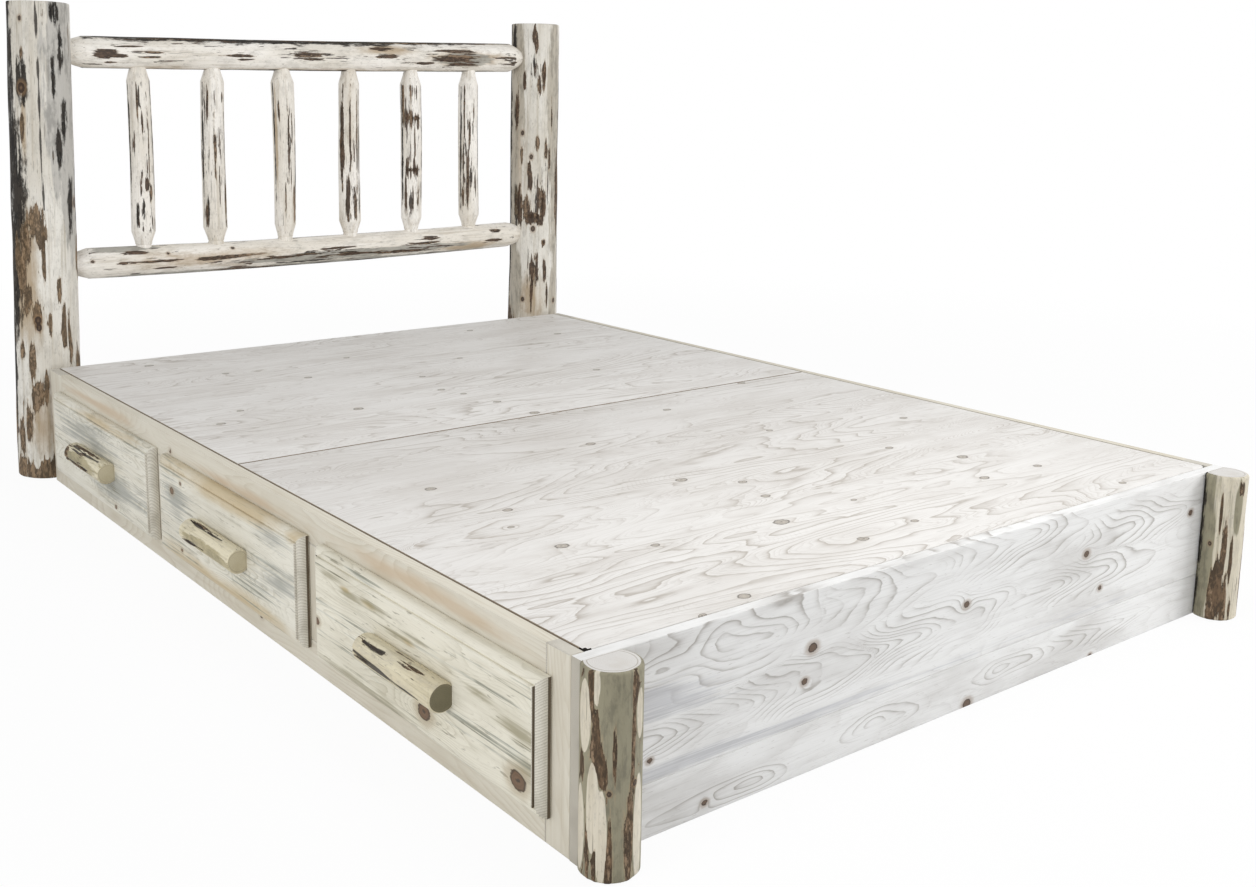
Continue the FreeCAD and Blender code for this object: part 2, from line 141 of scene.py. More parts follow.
class Graph:
    """The node tree of a material or a world."""

    def __init__(self, owner):
        owner.use_nodes = True
        self.tree = owner.node_tree

    def put(self, value, socket):
        """Links a Value to a socket, or sets the socket to a number, a vector or a colour code."""
        if isinstance(value, Value):
            self.tree.links.new(value.socket, socket)
        else:
            socket.default_value = paint(value) if isinstance(value, str) else value

    def node(self, kind, *inputs, **settings):
        """A new node with its settings and its first inputs."""
        node = self.tree.nodes.new("ShaderNode" + kind)
        for name, setting in settings.items():
            setattr(node, name, setting)
        for value, socket in zip(inputs, [socket for socket in node.inputs if socket.enabled]):
            self.put(value, socket)
        return node

    def output(self, kind, *inputs, **settings):
        """The first output of a new node."""
        node = self.node(kind, *inputs, **settings)
        return Value(self, next(socket for socket in node.outputs if socket.enabled))

    def named(self, output, kind, **settings):
        """One output of a new node, by its name."""
        return Value(self, self.node(kind, **settings).outputs[output])

    def sum(self, operation, *values):
        return self.output("Math", *values, operation=operation)

    def split(self, vector):
        return [Value(self, output) for output in self.node("SeparateXYZ", vector).outputs]

    def step(self, value, low, high):
        """0 below low and 1 above high, with a smooth rise between; low may be the larger."""
        ends = (0.0, 1.0) if low < high else (1.0, 0.0)
        return self.output(
            "MapRange", value, min(low, high), max(low, high), *ends, interpolation_type="SMOOTHSTEP"
        )

    def mix(self, share, first, second):
        return self.output("Mix", share, first, second, data_type="RGBA", clamp_factor=True)

    def coat(self, colour, *coats):
        """A colour under coats, which are (share, colour) pairs."""
        for share, over in coats:
            colour = self.mix(share, colour, over)
        return colour

    def plain_rays(self):
        """1 for the rays that show the plain background: from the camera, in a gloss or through glass."""
        paths = self.node("LightPath")
        seen, glossy, clear = (
            Value(self, paths.outputs["Is " + kind + " Ray"]) for kind in ("Camera", "Glossy", "Transmission")
        )
        return self.sum("MAXIMUM", self.sum("MAXIMUM", seen, glossy), clear)


gloss = 0.25
materials = {}


class Surface(Graph):
    """The node tree of a material, with noise over the places that its mesh carries."""

    def __init__(self, name, from_mesh=True):
        materials[name] = bpy.data.materials.new(name)
        super().__init__(materials[name])
        self.place = self.vector("grain") if from_mesh else self.named("Object", "TexCoord")
        self.shader = self.tree.nodes["Principled BSDF"].inputs

    def vector(self, name):
        return self.named("Vector", "Attribute", attribute_name=name)

    def number(self, name):
        return self.named("Fac", "Attribute", attribute_name=name)

    def noise(self, stretch, detail, rough, twist=0.0, place=None):
        """Noise over a place in metres; stretch is how many waves it has in a metre of each axis."""
        scaled = self.output("VectorMath", place or self.place, stretch, operation="MULTIPLY")
        node = self.node("TexNoise", scaled)
        values = {"Scale": 1.0, "Detail": detail, "Roughness": rough, "Distortion": twist}
        for name, value in values.items():
            node.inputs[name].default_value = value
        return Value(self, node.outputs["Fac"])

    def log(self, across, along, *how):
        """Noise of a log, which runs along Z."""
        return self.noise((across, across, along), *how)

    def board(self, along, across, *how):
        """Noise of a board, whose grain runs along X."""
        return self.noise((along, across, across), *how)

    def finish(self, colour, roughness, height, relief):
        """Sets the shader: its colour, its roughness and a relief in metres."""
        bump = self.node("Bump")
        bump.inputs["Distance"].default_value = relief
        self.put(height, bump.inputs["Height"])
        self.shader["Specular IOR Level"].default_value = gloss
        self.put(colour, self.shader["Base Color"])
        self.put(roughness, self.shader["Roughness"])
        self.put(Value(self, bump.outputs[0]), self.shader["Normal"])


# Studio: white surroundings, a pale floor, and soft lamps at the front right, above and at the left
ambient_strength = 0.57
floor_half = 30.0
floor_grey = (0.86, 0.86, 0.86, 1)
floor_roughness = 0.9
floor_whiteness = 0.94
floor_near, floor_far = 1.6, 4.0
# Name, place, the point that it faces, size and power
lamps = (
    ("key_lamp", (2.8, -2.6, 1.6), (0.6, -1.0, 0.1), 1.6, 54.0),
    ("top_lamp", (0.0, -0.9, 1.6), (0.0, -0.9, 0.2), 0.7, 8.0),
    ("left_lamp", (-3.4, -0.9, 1.3), (-0.7, -0.1, 0.2), 2.2, 30.0),
)


def make_world():
    world = bpy.data.worlds.new("studio")
    bpy.context.scene.world = world
    graph = Graph(world)
    graph.tree.nodes.clear()
    light = graph.output("Background", WHITE, ambient_strength)
    seen = graph.output("Background", WHITE)
    graph.node("OutputWorld", graph.output("MixShader", graph.plain_rays(), light, seen))


def make_lamps():
    for name, place, target, size, power in lamps:
        data = bpy.data.lights.new(name, "AREA")
        data.size = size
        data.energy = power
        lamp = link(name, data)
        lamp.visible_camera = False
        lamp.location = place
        lamp.rotation_mode = "QUATERNION"
        lamp.rotation_quaternion = (Vector(target) - Vector(place)).to_track_quat("-Z", "Y")


def make_floor():
    mesh = bpy.data.meshes.new("floor")
    ends = (-floor_half, floor_half)
    mesh.from_pydata([(x, y, 0) for x in ends for y in ends], [], [(0, 2, 3, 1)])
    material = bpy.data.materials.new("floor_paper")
    mesh.materials.append(material)
    graph = Graph(material)
    shader = graph.tree.nodes["Principled BSDF"]
    shader.inputs["Base Color"].default_value = floor_grey
    shader.inputs["Roughness"].default_value = floor_roughness
    distance = graph.output("VectorMath", graph.named("Object", "TexCoord"), operation="LENGTH")
    whiteness = graph.output("MapRange", distance, floor_near, floor_far, floor_whiteness)
    share = graph.plain_rays() * whiteness
    paper = graph.output("MixShader", share, Value(graph, shader.outputs[0]), graph.output("Emission"))
    graph.put(paper, graph.tree.nodes["Material Output"].inputs["Surface"])
    link("floor", mesh)


# Colours, as they look in plain light
char = "352c25"
cream = "ece9e1"
cream_shade = "dad5ca"
# Grey of the left head post's weathered skin, which also paints shade on its flank
skin_and_shade_grey = "bfbcb6"
bark_brown = "8a7359"
deck_white = "e8e6e3"
board_white = "eeeeed"


# Materials. Noise is given as its waves in a metre, its detail, its roughness and its twist.
def peeled_wood(
    name, pale, shade, skin_and_shade, bark, streaks, slit_stretch=(130, 7), flame=(46, 9), spikes=1.5, blobs=2.6
):
    """The side of a peeled log: pale wood with grain, weathered skin, slits, knots, cracks and left bark,
    with soot and painted shade along its flanks.
    """
    graph = Surface(name)
    step, coat = graph.step, graph.coat
    bark_level, knot, crack = graph.split(graph.vector("marks"))
    skin_and_shade_level, warm_level, slit_level = graph.split(graph.vector("tone"))
    soot_and_shade_level = graph.number("figure")
    slit_across, slit_along = slit_stretch
    fine = graph.log(420, 11, 3, 0.6)
    streak = graph.log(95, 4.5, 3, 0.55)
    broad = graph.log(16, 3.5, 3, 0.55)
    mottle = graph.log(62, 24, 5, 0.68)
    speck = graph.log(250, 90, 4, 0.7)
    fringe = graph.log(slit_across * 1.3, slit_along * 1.1, 3, 0.65)
    line = graph.log(330, 13, 2, 0.6)
    torn = graph.log(*flame, 5, 0.66, 0.4)
    rift = graph.log(*slit_stretch, 3, 0.62, 0.3)
    gate = graph.log(24, 9, 2, 0.5)
    colour = coat(
        pale,
        (step(broad, 0.38, 0.66), shade),
        (step(mottle, 0.47, 0.66) * 0.32, "a9a59d"),
        (step(streak, 0.5, 0.72) * 0.5, streaks),
        (step(fine, 0.5, 0.75) * 0.35, streaks),
        (step(speck, 0.54, 0.72) * 0.4, "7d7568"),
        (step(line, 0.66, 0.72) * 0.6, "5d554a"),
        (step(warm_level + (broad - 0.5) * 1.6 + (mottle - 0.5), 0.0, 0.8) * 0.7, "a98f6a"),
    )
    # Weathered skin and soot, which also paint shade as grey to near-black bands along the flanks
    edge = skin_and_shade_level + (broad - 0.5) * 1.2 + (torn - 0.5) * 1.6 + (fringe - 0.5) * 0.8
    dull_skin_and_shade = coat(skin_and_shade, (step(mottle + (streak - 0.5) * 0.5, 0.44, 0.66) * 0.75, darker(skin_and_shade)))
    soot_and_shade = step(soot_and_shade_level + (mottle - 0.5) * 2.6 + (fringe - 0.5) * 1.8, 0.0, 0.55)
    soot_and_shade_colour = coat("0f0d0c", (step(mottle + (speck - 0.5) * 0.8, 0.42, 0.6), "3a3530"))
    # Slits, and the bark that the peeling left
    slit = step(rift + slit_level * 0.15 + (gate - 0.5) * 0.5 + (speck - 0.5) * 0.12, 0.64, 0.665)
    colour = coat(
        colour,
        (step(edge, 0.0, 0.3) * 0.9, dull_skin_and_shade),
        (soot_and_shade * 0.98, soot_and_shade_colour),
        (slit * 0.95, coat(char, (step(mottle, 0.42, 0.6), bark))),
    )
    edge = bark_level + (torn - 0.5) * blobs + (fringe - 0.5) * spikes + (speck - 0.5) * 0.5
    cover = step(edge, 0.0, 0.06)
    crust = coat(
        darker(bark, 0.3),
        (step(speck * 0.6 + mottle * 0.6, 0.52, 0.74), bark),
        (step(streak + (speck - 0.5) * 0.9, 0.52, 0.68) * 0.6, "a89076"),
        (step(edge, 0.16, 0.03) * 0.8, char),
    )
    # Knots and cracks
    rough_knot = knot + (mottle - 0.5) * 0.5
    core = step(rough_knot, 1.02, 0.86)
    split = step(crack + (speck - 0.5) * 1.2, 1.5, 0.8)
    colour = coat(
        colour,
        (step(edge, -0.2, 0.0) * 0.5, "b09a7c"),
        (cover * 0.95, crust),
        (step(rough_knot, 1.9, 1.0) * 0.5, "94785a"),
        (core * 0.9, coat("3a2e27", (step(rough_knot, 0.55, 0.2), "6f5a48"))),
        (split * 0.9, "2b2521"),
    )
    height = cover * 0.9 + (fine - 0.5) * 0.4 + (streak - 0.5) * 0.5 + (mottle - 0.5) * 0.5
    height = height - slit * 0.6 - core * 0.4 - split * 1.4
    graph.finish(colour, 0.55 + cover * 0.2 + soot_and_shade * 0.35 + (mottle - 0.5) * 0.3, height, 0.0015)


def log_end(name, pale, ring, heart):
    """The sawn end of a log: growth rings, a few checks and a darker line under the rim."""
    graph = Surface(name)
    step = graph.step
    share = graph.number("figure")
    x, y, _ = graph.split(graph.place)
    wobble = graph.log(28, 1, 2, 0.5)
    grain = graph.log(600, 600, 2, 0.5)
    cloud = graph.log(34, 34, 3, 0.6)
    turn = graph.output("CombineXYZ", graph.sum("ARCTAN2", y, x), 0.0, 0.0)
    ray = graph.noise((5.5, 1, 1), 3, 0.7, 0.0, turn)
    radius = graph.sum("SQRT", x * x + y * y) + (wobble - 0.5) * 0.006
    rings = graph.sum("FRACT", radius / 0.0024)
    late = (rings**2.0) * step(rings, 1.0, 0.9)
    check = step(ray, 0.66, 0.7) * step(share, 0.08, 0.3) * step(share, 0.98, 0.8)
    bent = share + (wobble - 0.5) * 0.10
    colour = graph.coat(
        pale,
        (late * 0.35, ring),
        (step(cloud, 0.45, 0.75) * 0.45, heart),
        (step(grain, 0.5, 0.75) * 0.25, ring),
        (step(bent, 0.86, 0.885) * step(bent, 0.915, 0.885) * 0.75, "8d8271"),
        (check * 0.7, "4d4036"),
    )
    height = (grain - 0.5) * 0.4 - late * 0.3 - check
    graph.finish(colour, 0.6 + (grain - 0.5) * 0.3, height, 0.0006)


shade_strength = 0.14


def pine(
    name, pale, ring, ring_strength, stain, warm, knot_colour, streak_strength=0.3, sharp=2.4, tint=0.0,
    fleck_strength=0.0, halo_strength=0.3, waviness=0.7, contour_strength=0.0, fibre_strength=0.22,
    dash_strength=0.4, cloud_strength=0.25, waver_width=60,
):
    """A planed board: growth rings from the mesh, fibres, stains and knots."""
    graph = Surface(name)
    step, coat = graph.step, graph.coat
    phase = graph.number("figure")
    knot, stain_level, warm_level = graph.split(graph.vector("marks"))
    show, contour_level, shade = graph.split(graph.vector("tone"))
    waver = graph.board(9, waver_width, 3, 0.6)
    fade = graph.board(5, 22, 3, 0.6)
    fibre = graph.board(12, 620, 3, 0.6)
    streak = graph.board(2.6, 120, 3, 0.6)
    cloud = graph.board(4.5, 13, 4, 0.6)
    dash = graph.board(60, 900, 1, 0.5)
    line = graph.board(4, 210, 3, 0.65, 0.2)
    grit = graph.board(90, 160, 3, 0.6)
    rings = graph.sum("FRACT", phase + (waver - 0.5) * waviness)
    late = (rings**sharp) * step(rings, 1.0, 0.9)
    colour = coat(
        pale,
        (step(cloud, 0.42, 0.7) * cloud_strength, ring),
        (late * step(fade, 0.32, 0.6) * show * ring_strength, ring),
        (step(streak, 0.48, 0.78) * streak_strength, ring),
        (step(fibre, 0.5, 0.8) * fibre_strength, ring),
        (step(dash, 0.69, 0.75) * dash_strength, ring),
    )
    if contour_strength:
        # Bold lines along the heights of a field, and finer ones between them
        field = graph.board(1.5, 7.0, 3, 0.40, 0.25)
        weight = graph.board(2.5, 6, 2, 0.5)
        bold = graph.sum("FRACT", field * 22.0 + (waver - 0.5) * 0.8)
        thin = (bold**6.0) * step(bold, 1.0, 0.95)
        share = thin * step(step(weight, 0.30, 0.62) * 0.8 + contour_level, 0.0, 1.0)
        between = graph.sum("FRACT", field * 84.0 + (waver - 0.5) * 1.6)
        share = graph.sum("MAXIMUM", share, (between**3.0) * step(fade, 0.30, 0.62) * 0.30)
        colour = coat(
            colour, (share * contour_strength, darker(ring, 0.9)), (shade * shade_strength, darker(ring))
        )
    if fleck_strength:
        fleck = graph.board(26, 170, 2, 0.6)
        patch = graph.board(3, 7, 2, 0.5)
        fleck_share = step(fleck + (patch - 0.5) * 0.35, 0.66, 0.73)
        colour = coat(colour, (fleck_share * fleck_strength, darker(ring, 0.55)))
    warm_share = step(warm_level + (cloud - 0.5) * 1.7 + (streak - 0.5) * 0.5, 0.0, 0.9)
    stain_share = step(stain_level + (cloud - 0.5) * 2.2 + (line - 0.5) * 2.2, 0.0, 0.9)
    lined_stain = coat(stain, (step(line, 0.54, 0.66) * 0.6, darker(stain, 0.7)))
    colour = coat(colour, (warm_share * 0.8, warm), (stain_share * 0.7, lined_stain))
    if tint:
        patchy = step(cloud + (fade - 0.5) * 0.6, 0.44, 0.6)
        colour = coat(
            colour,
            (step(line, 0.56, 0.68) * patchy * tint, "77745d"),
            (step(fade + (line - 0.5), 0.58, 0.78) * 0.35, "b9bdb6"),
        )
    # Knots: rings within a dark rim, with a dark pith
    rough_knot = knot + (grit - 0.5) * 0.6
    core = step(rough_knot, 1.08, 0.92)
    body = coat(
        knot_colour,
        (step(graph.sum("FRACT", rough_knot * 3.2), 0.2, 0.8) * 0.5, darker(knot_colour, 0.6)),
        (step(rough_knot, 0.34, 0.12), darker(knot_colour, 0.2)),
        (step(rough_knot, 0.66, 0.86) * 0.9, darker(knot_colour, 0.3)),
    )
    halo = step(rough_knot, 2.3, 0.95) * halo_strength
    colour = coat(colour, (halo, graph.mix(0.5, knot_colour, warm)), (core * 0.92, body))
    height = (fibre - 0.5) * 0.5 - late * show * 0.35 + (streak - 0.5) * 0.3 - core * 0.25
    graph.finish(colour, 0.52 + (streak - 0.5) * 0.25 + late * 0.06, height, 0.0004)


def board_end(name, pale, ring, ring_width=0.0027):
    """The sawn end of a board: curved growth rings seen end on, with open pores."""
    graph = Surface(name)
    step = graph.step
    along, across, depth = graph.split(graph.place)
    bend = graph.board(20, 12, 2, 0.5)
    grain = graph.board(500, 900, 3, 0.6)
    cloud = graph.board(30, 22, 3, 0.6)
    low = depth - 0.16
    slant = graph.sum("SQRT", across * across * 0.8 + low * low) + across * 0.35 + along * 0.8
    rings = graph.sum("FRACT", slant / ring_width + (bend - 0.5) * 5.0)
    late = (rings**2.2) * step(rings, 1.0, 0.85)
    colour = graph.coat(
        pale,
        (late * 0.60, ring),
        (step(grain, 0.46, 0.72) * 0.28, ring),
        (step(cloud, 0.4, 0.75) * 0.4, ring),
    )
    graph.finish(colour, 0.68 + (grain - 0.5) * 0.2, (grain - 0.5) * 0.6 - late * 0.4, 0.0005)


def plated_steel(name):
    """Zinc plated steel of the fasteners, with a brushed and slightly dulled surface."""
    graph = Surface(name, from_mesh=False)
    brush = graph.log(900, 120, 3, 0.6)
    cloud = graph.log(120, 120, 3, 0.6)
    colour = graph.coat(
        "c4c5c3", (graph.step(cloud, 0.35, 0.7), "8f908c"), (graph.step(brush, 0.5, 0.8) * 0.4, "6d6c66")
    )
    graph.shader["Metallic"].default_value = 1.0
    graph.finish(colour, 0.28 + cloud * 0.25, brush, 0.0001)


def make_materials():
    post = {"streaks": "b0a48f"}
    peeled_wood("post_wood_left", cream, cream_shade, skin_and_shade_grey, bark_brown, **post)
    peeled_wood("post_wood_right", cream, cream_shade, "b9b1a2", "624e3f", **post, flame=(60, 11), spikes=2.0)
    peeled_wood(
        "rail_wood", "fbf7f0", "ebe5da", "a9a69d", "624f42", "bfb4a2", (170, 14), (80, 16), 2.6, 1.7
    )
    peeled_wood("foot_log_wood", "dfd7c6", "d2cab6", "8c8770", "735c46", "a99d85", (130, 5), (40, 4))
    peeled_wood(
        "pull_wood", "e4dcc2", "d6ccb0", "b0a582", "5f4b36", "a69a78", (170, 16), (90, 14), 2.4, 2.0
    )
    log_end("log_end_wood", "dad8d5", "b3aba0", "c9c4bc")
    log_end("pull_end_wood", "cfc6ab", "9a8c6c", "b8ab8a")
    # The foot pull's end: darker, as painted shade
    log_end("shaded_pull_end_wood", "807a63", "5a543f", "6d6650")
    pine(
        "deck_wood", deck_white, "9b8e7e", 1.0, "c6c5c4", "d8c6ae", "b7afa4",
        streak_strength=0.10, sharp=5.5, fleck_strength=0.16, halo_strength=0.12, waviness=0.8,
        contour_strength=0.85, fibre_strength=0.12, dash_strength=0.15, cloud_strength=0.16, waver_width=34,
    )
    pine(
        "footboard_wood", board_white, "8b837a", 1.15, "c6c7cb", "e3d8cd", "66503f",
        streak_strength=0.14, sharp=5.2, halo_strength=0.85, waviness=1.1, waver_width=34,
    )
    pine("side_wood", "dcd7c9", "b9ad96", 0.5, "bdb9ae", "c9b59a", "7b5a3c", 0.34)
    pine(
        "front_wood", "e9e6da", "a9a189", 0.75, "91948f", "c4b088", "7a5f45",
        streak_strength=0.30, sharp=3.5, tint=0.9, halo_strength=0.4, waviness=1.5, fleck_strength=0.35,
    )
    pine(
        "foot_front_wood", "ebe7d8", "a9a187", 0.75, "8f8768", "bda877", "6d5039",
        streak_strength=0.26, sharp=3.5, tint=1.0, halo_strength=0.5, waviness=1.5, fleck_strength=0.55,
    )
    pine("drawer_wood", "e3d6b9", "c3a97c", 0.5, "c9bfa9", "d2b98c", "80583a")
    pine("inner_wood", "dccfb2", "b99f74", 0.6, "bfb5a0", "cbb083", "76502f", 0.35)
    # The deck's edges: dark, as painted shade in the gaps at its seam and along the side rails
    board_end("deck_edge_shade_wood", "8d7f6c", "5d5143")
    board_end("front_end_wood", "e2ded2", "857c68", 0.0044)
    # Painted shade for the ends of the foot and middle drawer fronts and the foot front's quirk
    board_end("front_side_shade_wood", "6d6251", "453b2f")
    board_end("shadow_edge_wood", "6b6254", "453d32")
    # Painted shadow inside the dents at the deck's front corners
    board_end("chip_shadow_wood", "2a2620", "1c1914")
    board_end("side_end_wood", "d3cfc4", "a8a196")
    board_end("footboard_end_wood", "c3beb2", "968f83")
    plated_steel("plated_steel")


# Smooth random fields and marks, worked out at the points of a mesh. Far stands for no knot or crack.
far_knot, far_crack = 6.0, 30.0


def ripple(seed, lengths, *coordinates, count=16):
    """A smooth random field of about unit size, the sum of seeded waves of the given lengths."""
    random = np.random.default_rng(seed)
    total = 0
    for _ in range(count):
        direction = random.normal(size=len(lengths))
        direction *= random.uniform(0.6, 1.5) / np.linalg.norm(direction)
        turn = random.uniform(0, 2 * math.pi)
        for part, length, coordinate in zip(direction, lengths, coordinates):
            turn = turn + part * coordinate * 2 * math.pi / length
        total = total + np.cos(turn)
    return total / math.sqrt(count / 2)


def nearness(across, along, marks):
    """How far inside the nearest of some ovals each point is: 1 at its middle, 0 at its edge."""
    best = np.full(np.shape(along), -9.0)
    for centre, place, half_width, half_length in marks:
        distance = np.hypot(across(centre) / half_width, (along - place) / half_length)
        best = np.maximum(best, 1 - distance)
    return best


class Piece:
    """The points and faces of one visible piece, with the values that its materials read."""

    def __init__(self):
        self.points, self.faces, self.slots = [], [], []
        self.values = {"grain": [], "figure": [], "marks": [], "tone": []}
        self.count = 0

    def add(self, points, faces, slots, **values):
        self.points.append(points)
        self.faces += [tuple(self.count + corner for corner in face) for face in faces]
        self.slots += slots
        for name, parts in self.values.items():
            width = 1 if name == "figure" else 3
            parts.append(np.reshape(values.get(name, np.zeros(len(points) * width)), (len(points), width)))
        self.count += len(points)

    def make(self, node, slot, woods, crease=40):
        """Links the piece, which stands for a CAD node and rides on its body."""
        mesh = bpy.data.meshes.new(node + "_wood")
        mesh.from_pydata(np.concatenate(self.points).tolist(), [], self.faces)
        for wood in woods:
            mesh.materials.append(materials[wood])
        mesh.polygons.foreach_set("material_index", self.slots)
        for name, parts in self.values.items():
            kind, field = ("FLOAT", "value") if name == "figure" else ("FLOAT_VECTOR", "vector")
            values = np.concatenate(parts).astype(np.float32).ravel()
            mesh.attributes.new(name, kind, "POINT").data.foreach_set(field, values)
        mesh.shade_smooth()
        mesh.set_sharp_from_angle(angle=math.radians(crease))
        piece = link(node + "_wood", mesh)
        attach(piece, frame["nodes"][node]["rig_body"])
        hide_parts(node)


# Logs
tiny = 1e-9
closest_lines = 0.12
lobe_lengths = (1.6, 1.6, 0.55)
facet_lengths = (0.7, 0.7, 0.16)
lobe_share, facet_share = 0.75, 0.4
knot_swell, knot_reach, knot_stretch = 0.10, 1.6, 0.8
crack_depth, crack_reach = 0.0022, 2.4
crack_waver, crack_wave = 0.5, 0.09
bark_thickness = 0.0007
fringe_share = 0.35
# How steeply marks rise from their edges, and how much bare places and clean ends take from them
# Skin and soot also paint shade on flanks, and one bare place paints a highlight
patchy_slope, skin_and_shade_slope, soot_and_shade_slope, bark_slope = 3, 1.5, 1.8, 3
most_soot_and_shade = 0.7
bare_bark_slope, bare_bark_loss = 2, 2.5
bare_skin_slope, bare_skin_loss = 3, 3
bare_rim, bare_rim_slope = 0.05, 5
clean_loss, clean_slit_loss = 2, 4
cap_shares = (1.0, 0.9, 0.7, 0.45, 0.2)
# A mark is (angle, place along the log, half width, half length), a knot is (angle, place, radius) and a
# crack is a line of (angle, place) pairs. A level is the least that a field of marks has anywhere, and
# clean_ends is the length at each end that has hardly any marks.
log_defaults = {
    "bark_level": -1.2, "patchy_level": -0.15, "rim_level": -2.0, "skin_and_shade_level": -0.9, "soot_and_shade_level": -1.5,
    "warm_level": -0.6, "slit_level": -0.4, "crack_width": 1.0, "clean_ends": 0,
}


def lines_along(low, high, step, extra=()):
    """Places from low to high about a step apart, with the extra ones among them."""
    places = list(np.linspace(low, high, max(2, int(round((high - low) / step)) + 1))) + list(extra)
    places = sorted(place for place in places if low - tiny <= place <= high + tiny)
    kept = [places[0]]
    for place in places[1:]:
        if place - kept[-1] > step * closest_lines or place in extra:
            kept.append(place)
    return np.array(kept)


def ring_faces(rows, around, flip=False):
    """Faces between rings of points that follow each other."""
    faces = []
    for row in range(0, (rows - 1) * around, around):
        for k in range(around):
            after = (k + 1) % around
            face = (row + k, row + after, row + around + after, row + around + k)
            faces.append(face[::-1] if flip else face)
    return faces


